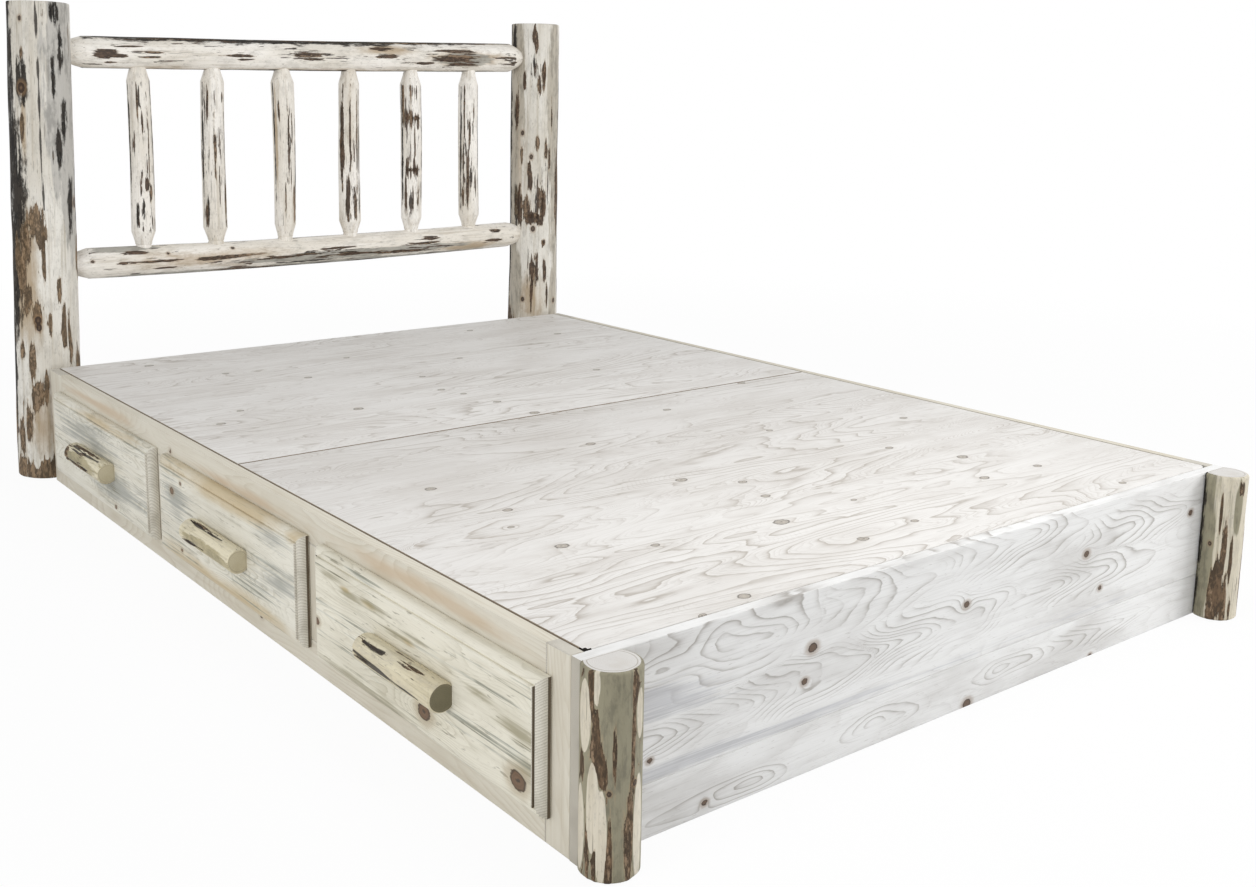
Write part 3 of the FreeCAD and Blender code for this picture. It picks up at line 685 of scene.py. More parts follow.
def make_log(
    node, start, end, zero, profile, seed, marks, slot, woods, step, around, rough,
    sag=0.0, calm=0.0, keep=None, crease=50,
):
    """A log from start to end. Angle 0 faces along zero, and the angle grows as seen from the end.
    profile is (distance from the start, radius) pairs, rough is the depth of the lobes as a share of
    the radius, calm is the even length at each end, and keep may move points, such as onto a flat."""
    marks = log_defaults | marks
    axis = (end - start).normalized()
    length = (end - start).length
    first = (zero - axis * zero.dot(axis)).normalized()
    second = axis.cross(first)
    stations = lines_along(0, length, step, tuple(place for place, _ in profile))
    widest = max(radius for _, radius in profile)
    angle, along = np.meshgrid(np.linspace(-math.pi, math.pi, around, endpoint=False), stations)
    ring_x, ring_y = np.cos(angle), np.sin(angle)
    lobes = ripple(seed, lobe_lengths, ring_x, ring_y, along)
    facets = ripple(seed + 1, facet_lengths, ring_x, ring_y, along)
    quiet = np.clip(np.minimum(along, length - along) / calm, 0, 1) if calm else 1.0
    swell = rough * (lobe_share * lobes + facet_share * facets) * quiet
    radius = np.interp(along, *zip(*profile)) * (1 - rough / 2 + np.clip(swell, -2 * rough, rough / 2))
    along_mm, left_mm = along / MM, np.minimum(along, length - along) / MM

    def across(centre):
        gap = angle - math.radians(centre)
        return (gap - 2 * math.pi * np.round(gap / (2 * math.pi))) * widest / MM

    def ovals(kind):
        return nearness(across, along_mm, marks.get(kind, ()))

    def level_field(kind, slope=1.0):
        return np.maximum(np.clip(ovals(kind), -1, 1) * slope, marks[kind + "_level"])

    patchy = np.clip(ovals("patchy") * patchy_slope, 0, 1) * (marks["patchy_level"] - marks["bark_level"])
    bark = np.maximum(ovals("bark"), marks["bark_level"] + patchy)
    # A bare place shows pale wood; one on the left foot post paints a highlight
    bare_and_highlight = ovals("bare_and_highlight")
    bark = np.maximum(bark, marks["rim_level"] - bare_rim_slope * np.abs(bare_and_highlight + bare_rim))
    bark = bark - bare_bark_loss * np.clip(bare_and_highlight * bare_bark_slope, 0, 1)
    # Skin and soot also carry painted shade, in bands along the flanks that face away from the light
    skin_and_shade = level_field("skin_and_shade", skin_and_shade_slope) - bare_skin_loss * np.clip(bare_and_highlight * bare_skin_slope, 0, 1)
    soot_and_shade = np.clip(ovals("soot_and_shade") * soot_and_shade_slope, marks["soot_and_shade_level"], most_soot_and_shade)
    warm, slit = level_field("warm"), level_field("slit")
    fringe = marks["clean_ends"]
    if fringe:
        near_end = np.clip((fringe - left_mm) / (fringe_share * fringe), 0, 1)
        bark, skin_and_shade, soot_and_shade = (field - clean_loss * near_end for field in (bark, skin_and_shade, soot_and_shade))
        slit = slit - clean_slit_loss * near_end
    knot = np.full(angle.shape, far_knot)
    for centre, place, size in marks.get("knots", ()):
        distance = np.hypot(across(centre), (along_mm - place) * knot_stretch) / size
        knot = np.minimum(knot, distance)
        radius = radius + np.clip(knot_reach - distance, 0, 1) * size * MM * knot_swell
    crack = np.full(angle.shape, far_crack)
    for line in marks.get("cracks", ()):
        turns, places = zip(*sorted(line, key=lambda pair: pair[1]))
        gap = np.abs((angle - np.radians(np.interp(along_mm, places, turns))) * widest) / MM
        gap = np.abs(gap / marks["crack_width"] + crack_waver * ripple(seed + 2, (crack_wave,), along))
        inside = (along_mm > places[0]) & (along_mm < places[-1])
        crack = np.where(inside, np.minimum(crack, gap), crack)
    radius = radius - crack_depth * np.clip(1 - crack / crack_reach, 0, 1)
    radius = radius + bark_thickness * np.clip(bark * bark_slope, 0, 1)

    off_first = radius * ring_x
    off_second = radius * ring_y + sag * np.sin(math.pi * along / length)
    offsets = ((along, axis), (off_first, first), (off_second, second))
    points = np.array(start) + sum(offset[..., None] * np.array(way) for offset, way in offsets)
    points = points.reshape(-1, 3)
    if keep:
        points = keep(points)
    shuffle = np.random.default_rng(seed + 3).uniform(0, 3, 3)[2]
    grain = np.stack([off_first, off_second, along + shuffle], -1) + seed * 0.37
    rows = len(stations)
    faces = ring_faces(rows, around)
    piece = Piece()
    piece.add(
        points, faces, [0] * len(faces), grain=grain, figure=soot_and_shade,
        marks=np.stack([np.clip(bark, -1.5, 1), knot, crack], -1), tone=np.stack([skin_and_shade, warm, slit], -1),
    )
    rings = len(cap_shares)
    last = (rings - 1) * around
    for row, flip in ((0, True), (rows - 1, False)):
        rim = points[row * around : (row + 1) * around]
        centre = rim.mean(0)
        cap = np.concatenate([centre + (rim - centre) * share for share in cap_shares] + [centre[None]])
        flat = [np.stack([off_first[row] * s, off_second[row] * s, along[row]], -1) for s in cap_shares]
        flat = np.concatenate(flat + [np.array([[0, 0, stations[row]]])])
        fan = [(last + k, last + (k + 1) % around, rings * around) for k in range(around)]
        faces = ring_faces(rings, around, flip) + [face[::-1] if flip else face for face in fan]
        figure = np.append(np.repeat(cap_shares, around), 0)
        piece.add(cap, faces, [1] * len(faces), grain=flat, figure=figure)
    piece.make(node, slot, woods, crease)


# Boards. The materials of a board are its face, its sawn end and a third for painted shade at edges, gaps and
# dents.
edge_radius = 0.0016
chip_size = 0.007
chip_depth = 0.6
back_cell = 0.04
round_share = 1 - math.sqrt(0.5)
edge_parts = 8
end_slot, painted_shade_slot = 1, 2
full_knot, board_knot_stretch = 6, 0.75
knot_bend, knot_bend_reach = 1.9, 2.3


def soft_edge(radius):
    """A rounded edge as (inset from the edge, drop below the face) pairs."""
    return ((0.0, radius), (radius * round_share, radius * round_share), (radius, 0.0))


def face_lines(extent, profile, cell):
    """Places of the lines of a face: those of its edge's profile, and about a cell apart between them."""
    rim = [inset for inset, _ in profile]
    middle = lines_along(rim[-1], extent - rim[-1], cell)
    return np.concatenate([rim[:-1], middle, [extent - inset for inset in rim[:-1]][::-1]])


def add_board(
    piece, low, high, grain_axis, depth_axis, seed, cell, front_sign=1, front=None, back=None, figure=None,
    knots=(), stains=(), warm=(), shades=(), stain_level=-0.9, warm_level=-0.9, edge_slots=(0, 0),
    back_slots=(0, 0), ring_slot=end_slot, dark_rows=(), chips=(),
):
    """A board between two corners. front is the profile of its face on one side of depth_axis, and
    edge_slots and back_slots are the materials of the low and the high long edge of its two faces.
    ring_slot is the material of its ends, with the given rows of the front's profile. A mark is
    (place along the grain, place across it, half length, half width), and a knot ends in its radius."""
    low, high = np.array(low, float), np.array(high, float)
    cross_axis = 3 - grain_axis - depth_axis
    axes = [grain_axis, cross_axis, depth_axis]
    handed = 1 if (grain_axis, cross_axis) in ((0, 1), (1, 2), (2, 0)) else -1
    length, width, thickness = (high - low)[axes]
    plain = soft_edge(min(edge_radius, thickness / 3))
    faces, slots, points, ring_points, base = [], [], [], [], 0
    both_faces = (
        (front or plain, front_sign, cell, edge_slots),
        (back or plain, -front_sign, max(cell, back_cell), back_slots),
    )
    for profile, outward, spacing, long_slots in both_faces:
        lines = (face_lines(extent, profile, spacing) for extent in (length, width))
        a, c = np.meshgrid(*lines, indexing="ij")
        inset = np.minimum(np.minimum(a, length - a), np.minimum(c, width - c))
        drop = np.interp(inset, *zip(*profile))
        grid = np.zeros(a.shape + (3,))
        grid[..., axes] = low[axes] + np.stack([a, c, thickness - drop if outward > 0 else drop], -1)
        rows, columns = a.shape
        rim = len(profile) - 1
        for i in range(rows - 1):
            for j in range(columns - 1):
                p, q = base + i * columns + j, base + (i + 1) * columns + j
                from_i, from_j = min(i, rows - 2 - i), min(j, columns - 2 - j)
                if from_i != from_j or from_i >= rim:
                    made = [(p, q, q + 1, p + 1)]
                elif (i < rows / 2) == (j < columns / 2):
                    made = [(p, q, q + 1), (p, q + 1, p + 1)]
                else:
                    made = [(p, q, p + 1), (q, q + 1, p + 1)]
                faces += made if outward == handed else [face[::-1] for face in made]
                slot = long_slots[int(j > columns / 2)] if from_j < rim and from_j < from_i else 0
                if from_i < rim and from_i <= from_j and abs(drop[i, j] - drop[i + 1, j]) > tiny:
                    slot = ring_slot if from_i in dark_rows else end_slot
                slots += [slot] * len(made)
        corner = [grid[0, 0], grid[-1, 0], grid[-1, -1], grid[0, -1]]
        for k in range(4):
            for share in np.arange(edge_parts) / edge_parts:
                ring_points.append(corner[k] * (1 - share) + corner[(k + 1) % 4] * share)
        points.append(grid.reshape(-1, 3))
        base += rows * columns
    # The two faces have their own lines, so the edge between them is made from a ring of its own.
    count = len(ring_points) // 2
    points = np.concatenate(points + [np.array(ring_points)])
    for k in range(count):
        after = (k + 1) % count
        face = (base + k, base + after, base + count + after, base + count + k)
        faces.append(face[::-1] if front_sign == handed else face)
        slots.append((edge_slots[0], ring_slot, edge_slots[1], ring_slot)[k // edge_parts])
    # Each chip sinks the points near a corner into a dent, whose faces take the painted shadow
    for chip in chips:
        reach = np.abs(points[:, 0] - chip[0]) + np.abs(points[:, 1] - chip[1])
        sunk = (reach < chip_size) & (points[:, 2] > (low[2] + high[2]) / 2)
        points[:, 2] -= thickness * chip_depth * sunk
        slots = [painted_shade_slot if sunk[list(face)].any() else slot for face, slot in zip(faces, slots)]
    flat = (points - low)[:, axes]
    a, c, d = flat.T
    a_mm, c_mm = a / MM, c / MM
    phase, show, contour_level = (figure or flat_sawn(seed, width))(a, c, d)

    def ovals(marks):
        turned = [(mark[1], mark[0], mark[3], mark[2]) for mark in marks]
        return nearness(lambda centre: c_mm - centre, a_mm, turned)

    knot = np.full(len(a), far_knot)
    for along, across, radius in knots:
        distance = np.hypot((a_mm - along) * board_knot_stretch, c_mm - across) / radius
        knot = np.minimum(knot, distance)
        bend = np.exp(-((distance / knot_bend_reach) ** 2)) * min(1.0, radius / full_knot)
        phase = phase + knot_bend * bend
    stain, glow = np.maximum(ovals(stains), stain_level), np.maximum(ovals(warm), warm_level)
    tone = show + 0 * a, contour_level + 0 * a, np.clip(ovals(shades) * 1.4, 0, 1)
    piece.add(
        points, faces, slots, grain=flat + np.random.default_rng(seed).uniform(0, 5, 3), figure=phase,
        marks=np.stack([knot, stain, glow], -1), tone=np.stack(tone, -1),
    )


def make_board(node, slot, woods, *board, crease=40, **settings):
    """The visible piece of a CAD node that is one board."""
    piece = Piece()
    add_board(piece, *board, **settings)
    piece.make(node, slot, woods, crease)


# Growth rings. Each returns the rings' phase, how strong they show, and the level of the contours.
ring_width = 0.0055
ring_depth, ring_slope, ring_wave = 0.03, 0.045, 0.010
fine_ring_share, fine_lengths = 1.1, (0.35, 0.45)
show_lengths, least_show = (0.6, 0.3), 0.15
island_length, island_width = 0.105, 0.041
island_reach, island_fade, island_rings, island_show = 3.6, 1.6, 1.2, 1.15
bold_level, island_level = 0.9, 1.5
row_pitch, row_bend, row_lengths = 0.05, 1.6, (0.6, 0.2)
bend_share, bend_lengths = 0.10, (0.16, 0.06)
arrow_bluntness, arrow_share = 0.02, 0.8


def flat_sawn(seed, width):
    """Growth rings of a board sawn beside the middle of a tree, which make long arches."""
    random = np.random.default_rng(seed + 40)
    centre = width * random.uniform(0.25, 0.75)
    tilt = ring_slope * random.choice((-1, 1))

    def figure(a, c, d):
        lift = ring_depth + tilt * a + ring_wave * ripple(seed + 41, (0.5, 0.12), a, c)
        return np.sqrt((c - centre) ** 2 + (lift + d) ** 2) / ring_width, 1.0, 0.0

    return figure


def peeled_veneer(
    seed, rings=5.5, long=0.75, short=0.16, pitch=0.03, island=None, bold=(), ground=(0.75, 0.5)
):
    """Growth rings of a sheet peeled round a tree, which make flames and islands.
    A bold place has stronger contours and is (along, across, half length, half width)."""

    def figure(a, c, d):
        low = ripple(seed + 50, (long, short), a, c)
        fine = ripple(seed + 51, (long * fine_lengths[0], short * fine_lengths[1]), a, c)
        phase = rings * low + fine_ring_share * fine + c / pitch
        near = 0 * a
        if island:
            distance = np.abs(a - island[0]) / island_length + ((c - island[1]) / island_width) ** 2
            near = np.clip(island_reach - distance * island_fade, 0, 1)
            phase = phase * (1 - near) + distance * island_rings * near
        mean, swing = ground
        show = np.clip(mean + swing * ripple(seed + 52, show_lengths, a, c), least_show, 1.0)
        bolder = sum(
            np.clip(1.0 - np.hypot((a / MM - along) / half_length, (c / MM - across) / half_width), 0, 1)
            for along, across, half_length, half_width in bold
        )
        return phase, np.maximum(near * island_show, show), bold_level * bolder - island_level * near

    return figure


def drawn_rings(seed, features, ground):
    """Growth rings in groups: ovals, and arrows that point along the board.
    A feature is (kind, along, across, half length, half width, number of rings)."""

    def figure(a, c, d):
        phase = c / row_pitch + row_bend * ripple(seed + 60, row_lengths, a, c)
        show, best = ground + 0 * a, 0 * a
        for kind, along, across, half_length, half_width, count in features:
            u, v = (a / MM - along) / half_length, (c / MM - across) / half_width
            u = u + bend_share * ripple(seed + 61, bend_lengths, a, c)
            near = 1 - np.hypot(u, v)
            rings = 1 - near if kind == "oval" else (u + np.sqrt(v * v + arrow_bluntness)) * arrow_share
            phase = np.where(near > best, rings * count, phase)
            show = np.where(near > best, np.maximum(ground, np.clip(near * 3, 0, 1)), show)
            best = np.maximum(best, near)
        return phase, show, 0.0

    return figure


def corners(node):
    """Lowest and highest corners of the solids of a CAD node whose solids don't touch."""
    places = cad_points(node)
    group = list(range(len(places)))
    seen = {}

    def root(k):
        while group[k] != k:
            group[k] = group[group[k]]
            k = group[k]
        return k

    for index, place in enumerate(np.round(places, 5).tolist()):
        group[root(index)] = root(seen.setdefault(tuple(place), index))
    for polygon in frame["nodes"][node].data.polygons:
        for other in polygon.vertices[1:]:
            group[root(other)] = root(polygon.vertices[0])
    solids = {}
    for index in range(len(places)):
        solids.setdefault(root(index), []).append(index)
    boxes = [(places[members].min(0), places[members].max(0)) for members in solids.values()]
    return sorted(boxes, key=lambda box: tuple(np.round(box[0], 3)))


def cad_points(node):
    return np.array([vertex.co for vertex in frame["nodes"][node].data.vertices], np.float32)


def inside(low, high):
    """Keeps points within a box."""
    return lambda points: np.clip(points, low, high)


# Head posts
# Skin and soot bands on the flanks, from about -75 to -120 degrees and from 50 to 90 degrees, paint shade
# where the log turns away from the light; the other marks are real weathering, soot and bark.
post_marks = {
    "left": {
        "bark_level": -1.1, "patchy_level": -0.55, "crack_width": 1.7, "slit_level": -0.4,
        "bark": (
            (-32, 575, 18, 40), (-20, 545, 10, 30), (-52, 530, 14, 50), (-70, 500, 10, 40),
            (-60, 460, 12, 50), (-50, 405, 12, 35), (-30, 375, 14, 30), (-18, 500, 5, 60),
            (-10, 360, 6, 30), (-43, 270, 8, 45), (-36, 190, 14, 30), (-66, 290, 7, 25),
            (-56, 130, 10, 50), (-19, 200, 6, 45), (-72, 100, 10, 50), (-75, 20, 30, 28),
            (-40, 14, 28, 26), (-15, 24, 16, 30), (15, 340, 6, 50), (28, 300, 8, 60), (8, 430, 5, 30),
            (60, 220, 20, 80), (30, 30, 30, 30), (120, 350, 30, 120), (170, 720, 20, 150),
            (150, 120, 50, 90), (-130, 620, 24, 110), (-120, 120, 30, 80), (90, 800, 12, 90),
            (75, 500, 16, 60), (-50, 945, 3.5, 18), (-52, 790, 5, 30),
        ),
        "patchy": ((-45, 420, 60, 160), (-30, 120, 60, 120), (30, 380, 40, 140), (140, 300, 90, 300)),
        "bare_and_highlight": ((-36, 485, 8, 30), (-40, 60, 10, 45), (-22, 90, 9, 50)),
        "knots": (
            (-51, 870, 10), (-51, 1017, 5), (-31, 362, 8), (-88, 106, 7), (60, 620, 10), (130, 900, 12),
            (-160, 350, 12), (-30, 345, 7),
        ),
        "cracks": (((-21, 1054.9), (-19, 920), (-18, 740), (-15, 600)),),
        "skin_and_shade": (
            (30, 880, 55, 240), (45, 700, 40, 220), (-97, 780, 26, 400), (-78, 660, 16, 130),
            (14, 1030, 20, 35), (-160, 600, 50, 400), (10, 720, 14, 100),
        ),
        "soot_and_shade": (
            (-92, 680, 45, 270), (-74, 620, 40, 170), (-84, 500, 34, 220), (-97, 860, 34, 440),
            (14, 1030, 14, 30), (-98, 300, 20, 300), (70, 620, 8, 140), (-51, 885, 19, 62),
            (26, 950, 10, 50), (8, 900, 6, 60), (30, 800, 12, 60), (16, 740, 10, 50), (40, 620, 12, 80),
            (-74, 700, 8, 50), (-100, 300, 10, 250),
        ),
        "warm": ((-49, 790, 9, 90), (-60, 450, 50, 200), (-30, 120, 50, 120)),
    },
    "right": {
        "bark_level": -1.1, "patchy_level": -0.6, "skin_and_shade_level": -0.6, "slit_level": -0.5,
        "bark": (
            (-37, 1022, 8, 30), (-30, 965, 4, 45), (-13, 920, 6, 45), (-26, 890, 8, 26), (-80, 820, 8, 50),
            (-60, 900, 4, 30), (-32, 370, 13, 45), (-46, 655, 7, 30), (-74, 560, 16, 45), (4, 700, 4, 40),
            (-38, 325, 5, 30), (-6, 378, 5, 25), (-40, 525, 30, 14), (-20, 520, 12, 18), (-52, 545, 9, 40),
            (-72, 560, 10, 60), (-10, 560, 7, 50), (-22, 600, 4, 50), (-44, 630, 8, 30), (-6, 720, 5, 30),
            (-28, 730, 5, 20), (10, 800, 4, 50), (-66, 700, 6, 30), (-36, 100, 30, 90), (40, 600, 20, 120),
            (90, 300, 30, 150), (150, 750, 22, 120), (-150, 450, 30, 110), (-110, 200, 30, 80),
            (70, 920, 12, 60), (20, 150, 22, 70), (180, 120, 40, 90), (0, 310, 4, 30), (-10, 455, 6, 12),
        ),
        "patchy": ((-30, 550, 60, 140), (-40, 330, 50, 100), (-30, 920, 30, 70), (120, 500, 90, 400)),
        "knots": (
            (-64, 759, 6), (-42, 694, 6), (-36, 495, 7), (-9, 458, 5), (-59, 296, 6), (23, 290, 6),
            (100, 700, 12),
        ),
        "bare_and_highlight": ((-23, 965, 12, 30), (-20, 660, 10, 60)),
        "skin_and_shade": (
            (-95, 650, 32, 550), (-78, 900, 30, 200), (25, 750, 35, 450), (130, 500, 50, 500),
            (20, 300, 20, 100), (-78, 350, 20, 120),
        ),
        "soot_and_shade": (
            (-118, 650, 20, 550), (-95, 1000, 12, 70), (50, 600, 8, 500), (-80, 560, 14, 60),
            (-34, 530, 26, 10), (-12, 570, 4, 50), (-30, 570, 3, 30), (-37, 955, 4, 30), (-12, 920, 4, 35),
            (-84, 810, 8, 40),
        ),
        "warm": ((-80, 750, 30, 350), (-40, 300, 40, 120)),
        "slit": ((-25, 600, 30, 80), (-30, 930, 20, 60)),
    },
}
post_rim, cad_post_rim = 0.0045, 0.004
low_rim = 0.002
level_reach = 0.0002


def rim_profile(length, bottom_radius, top_radius, rim):
    """A log's profile with a rounded rim at the top and a small one at the bottom."""
    pairs = [(0.0, bottom_radius - low_rim), (low_rim, bottom_radius)]
    for share in (1.0, 0.5, 0.2, 0.0):
        drop = rim * (1 - math.sqrt(max(0.0, 1 - (1 - share) ** 2)))
        pairs.append((length - rim * share, top_radius - drop))
    return pairs


def cad_ring(node, level):
    """The middle and the radius of an upright CAD log at one of its own levels."""
    places = cad_points(node)
    ring = places[np.abs(places[:, 2] - level) < level_reach]
    return (ring.max(0) + ring.min(0)) / 2, (ring[:, 0].max() - ring[:, 0].min()) / 2


def head_posts():
    seat_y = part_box("head_panel")[1].y
    deck_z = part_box("deck_panel_head")[1].z
    for number, side in enumerate(sides):
        node = "head_post_" + side
        low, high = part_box(node)
        (_, axis_y, _), top_radius = cad_ring(node, high.z - cad_post_rim)
        start = Vector((cad_ring(node, low.z)[0][0], axis_y, low.z))
        end = Vector((cad_ring(node, high.z)[0][0], axis_y, high.z))

        def keep(points, low=low, high=high):
            points = np.clip(points, low, high)
            under = points[:, 2] < deck_z
            points[under, 1] = np.maximum(points[under, 1], seat_y)
            return points

        profile = rim_profile((end - start).length, high.y - axis_y, top_radius, post_rim)
        make_log(
            node, start, end, TO_FOOT, profile, 11 + number * 7, post_marks[side], "peeled_log_post",
            ("post_wood_" + side, "log_end_wood"), step=0.006, around=120, rough=0.014, keep=keep,
        )


# Head rails and spindles
# The long skin and soot bands near -80 to -100 degrees (the top) and near 80 to 90 degrees (the underside)
# paint shade along the rails' edges; the other marks are real bark, slits, soot and weathering.
rail_marks = {
    "top": {
        "bark_level": -1.2, "slit_level": -0.15, "soot_and_shade_level": -0.9, "clean_ends": 85, "warm_level": -0.75,
        "bark": (
            (-66, 300, 3, 90), (-72, 620, 4, 120), (-64, 920, 4, 90), (-70, 1120, 4, 80),
            (78, 300, 3, 100), (74, 800, 3, 120), (70, 1100, 3, 80), (6, 128, 10, 22), (12, 157, 4, 20),
            (38, 135, 3, 16), (-22, 190, 3, 30), (-2, 235, 3, 25), (16, 235, 3, 22), (5, 440, 4, 35),
            (20, 460, 3, 20), (0, 620, 6, 35), (15, 640, 3, 30), (-30, 830, 6, 30), (0, 850, 5, 30),
            (25, 950, 4, 30), (5, 1050, 10, 60), (30, 1060, 4, 50), (-25, 1040, 4, 60), (0, 1200, 3, 40),
            (20, 1250, 3, 30), (120, 500, 10, 90), (180, 900, 12, 120),
        ),
        "slit": (
            (0, 240, 20, 50), (-75, 500, 10, 500), (78, 600, 10, 500), (0, 620, 20, 60), (0, 850, 30, 60),
            (5, 1060, 30, 80), (10, 1220, 20, 60),
        ),
        "skin_and_shade": ((-80, 600, 20, 700), (85, 600, 12, 700), (10, 1080, 20, 100)),
        "soot_and_shade": ((-84, 600, 30, 640), (88, 600, 7, 560), (-62, 300, 3, 120), (-64, 900, 3, 200)),
        "warm": ((0, 1100, 30, 150), (-30, 850, 20, 100), (80, 600, 20, 800), (-70, 600, 16, 700)),
    },
    "bottom": {
        "bark_level": -1.2, "slit_level": -0.1, "clean_ends": 85, "warm_level": -0.75,
        "bark": (
            (-2, 235, 3, 72), (0, 155, 2.5, 14), (-1, 380, 4, 55), (-6, 460, 3, 50), (26, 255, 2.5, 30),
            (-30, 1190, 6, 16), (60, 500, 5, 120), (12, 550, 4, 70), (20, 750, 4, 90), (-10, 700, 3, 50),
            (30, 900, 4, 80), (0, 950, 3, 40), (-20, 980, 6, 20), (-40, 190, 6, 30), (15, 1180, 4, 30),
            (150, 600, 12, 120),
        ),
        "knots": ((-13, 89, 3.5), (-30, 266, 3.5), (-38, 427, 4)),
        "slit": ((65, 600, 16, 500), (10, 700, 20, 350), (20, 450, 10, 150)),
        "skin_and_shade": ((78, 600, 22, 700), (-70, 160, 20, 80), (20, 750, 12, 350)),
        "soot_and_shade": ((84, 600, 12, 520), (-98, 600, 8, 500), (40, 620, 3, 120)),
        "warm": ((0, 350, 30, 200), (40, 1100, 20, 100)),
    },
}
# The long soot bands near -80 degrees and near 35 to 55 degrees paint shade along the spindles' sides; the
# short marks are real soot, bark and slits.
spindle_marks = (
    {
        "bark": (
            (-30, 375, 2, 50), (-10, 330, 2.5, 30), (5, 180, 6, 16), (25, 160, 4, 20), (20, 300, 2, 80),
        ),
        "soot_and_shade": ((-45, 110, 5, 35), (-15, 120, 4, 30), (-85, 280, 4, 200), (55, 300, 3, 200)),
        "slit": ((-15, 370, 12, 80), (0, 200, 20, 60)),
    },
    {
        "bark": (
            (-65, 100, 6, 35), (-15, 270, 3, 70), (30, 380, 3, 12), (5, 180, 2, 50), (42, 140, 4, 60),
            (-50, 360, 3, 50),
        ),
        "soot_and_shade": ((-80, 280, 4, 200), (-55, 110, 4, 40), (50, 220, 3, 200)),
        "slit": ((-55, 300, 12, 150), (10, 280, 15, 100)),
    },
    {
        "slit_level": -0.4,
        "bark": (
            (-45, 340, 3, 30), (0, 250, 2.5, 100), (20, 300, 2, 50), (35, 120, 5, 50), (-20, 130, 2, 30),
            (10, 180, 2, 40),
        ),
        "soot_and_shade": ((-80, 280, 4, 200), (50, 200, 4, 150)),
        "slit": ((5, 280, 10, 140),),
        "warm": ((-66, 300, 5, 150),),
    },
    {
        "skin_and_shade_level": -0.6, "warm_level": 0.0,
        "bark": (
            (-65, 260, 6, 120), (-20, 300, 3, 110), (-35, 120, 6, 50), (5, 110, 4, 40), (20, 280, 2, 120),
        ),
        "soot_and_shade": ((-75, 270, 6, 110), (35, 250, 3, 200)),
        "slit": ((-10, 250, 12, 200),),
    },
    {
        "skin_and_shade_level": -0.5, "warm_level": -0.1,
        "bark": (
            (-72, 360, 4, 60), (-48, 332, 5, 18), (-28, 326, 3, 24), (-8, 330, 4, 16), (12, 322, 3, 22),
            (-50, 200, 4, 26), (-32, 192, 3, 16), (-14, 200, 4, 22), (6, 196, 3, 18), (-10, 260, 2, 80),
            (-60, 130, 4, 50), (10, 120, 3, 30), (-30, 400, 3, 30), (0, 400, 2, 30), (-20, 120, 2, 40),
        ),
        "soot_and_shade": ((-85, 280, 6, 200), (40, 270, 3, 200), (-20, 330, 28, 7), (-20, 196, 28, 6)),
        "slit": ((-20, 330, 40, 40), (-20, 200, 40, 40), (-20, 120, 20, 50), (-30, 400, 30, 40)),
    },
    {
        "skin_and_shade_level": -0.3, "warm_level": -0.1,
        "bark": (
            (-55, 350, 2.5, 80), (-25, 310, 3, 40), (-35, 150, 3, 50), (-60, 120, 4, 30), (0, 350, 2, 40),
            (10, 150, 2, 40),
        ),
        "soot_and_shade": ((-80, 250, 4, 200), (35, 300, 3, 200)),
        "slit": ((-30, 250, 20, 200),),
    },
)
spindle_defaults = {"warm_level": -0.7, "slit_level": -0.1, "clean_ends": 72}
rail_woods = "rail_wood", "log_end_wood"
rail_tenon, rail_depth, rail_shoulder = 0.026, 0.062, 0.026
rail_play = 0.002
cone_share, cone_growth = 0.32, 0.001
rail_shares = {"top": (0.925, 1.0), "bottom": (1.0, 0.935)}
rail_tilts = {"top": (-0.006, 0.007), "bottom": (0.0, 0.005)}
rail_sags = {"top": 0.002, "bottom": 0.0075}
spindle_leans = (
    (0.005, 0.010), (0.003, 0.009), (0.002, 0.005), (0.003, 0.008), (0.001, 0.005), (0.001, 0.004),
)
spindle_sways = (0.003, -0.002, 0.0025, -0.002, 0.002, -0.0015)
shoulder_flare = 0.012
neck_growth = 0.0012
fewest_points = 16


def rail_end(radius):
    """Half of a rail's profile, from the end of its tenon to its full radius."""
    cone = rail_tenon + cone_share * (radius - rail_tenon) + cone_growth
    return (
        (0.0, rail_tenon), (rail_depth - rail_play, rail_tenon), (rail_depth + rail_shoulder * 0.3, cone),
        (rail_depth + rail_shoulder, radius * 0.992), (rail_depth + rail_shoulder * 1.5, radius),
    )


def head_rails():
    for number, name in enumerate(rail_shares):
        node = "head_rail_" + name
        low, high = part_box(node)
        radius = (high.z - low.z) / 2
        left, right = (
            Vector((x, (low.y + high.y) / 2, (low.z + high.z) / 2 + tilt))
            for x, tilt in zip((low.x, high.x), rail_tilts[name])
        )
        left_end, right_end = (rail_end(radius * share) for share in rail_shares[name])
        mirrored = tuple((high.x - low.x - place, size) for place, size in right_end[::-1])
        make_log(
            node, left, right, TO_FOOT, left_end + mirrored, 31 + number * 5, rail_marks[name],
            "peeled_log_rail", rail_woods, step=0.005, around=80, rough=0.016, calm=0.07, sag=rail_sags[name],
        )


def cad_profile(node):
    """(distance, radius) pairs of an upright round CAD log."""
    low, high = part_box(node)
    places = cad_points(node)
    reach = np.hypot(places[:, 0] - (low.x + high.x) / 2, places[:, 1] - (low.y + high.y) / 2)
    pairs = []
    for level in sorted(set(np.round(places[:, 2], 4).tolist())):
        at = np.abs(places[:, 2] - level) < level_reach
        if at.sum() >= fewest_points:
            pairs.append((level - low.z, float(reach[at].max())))
    return pairs


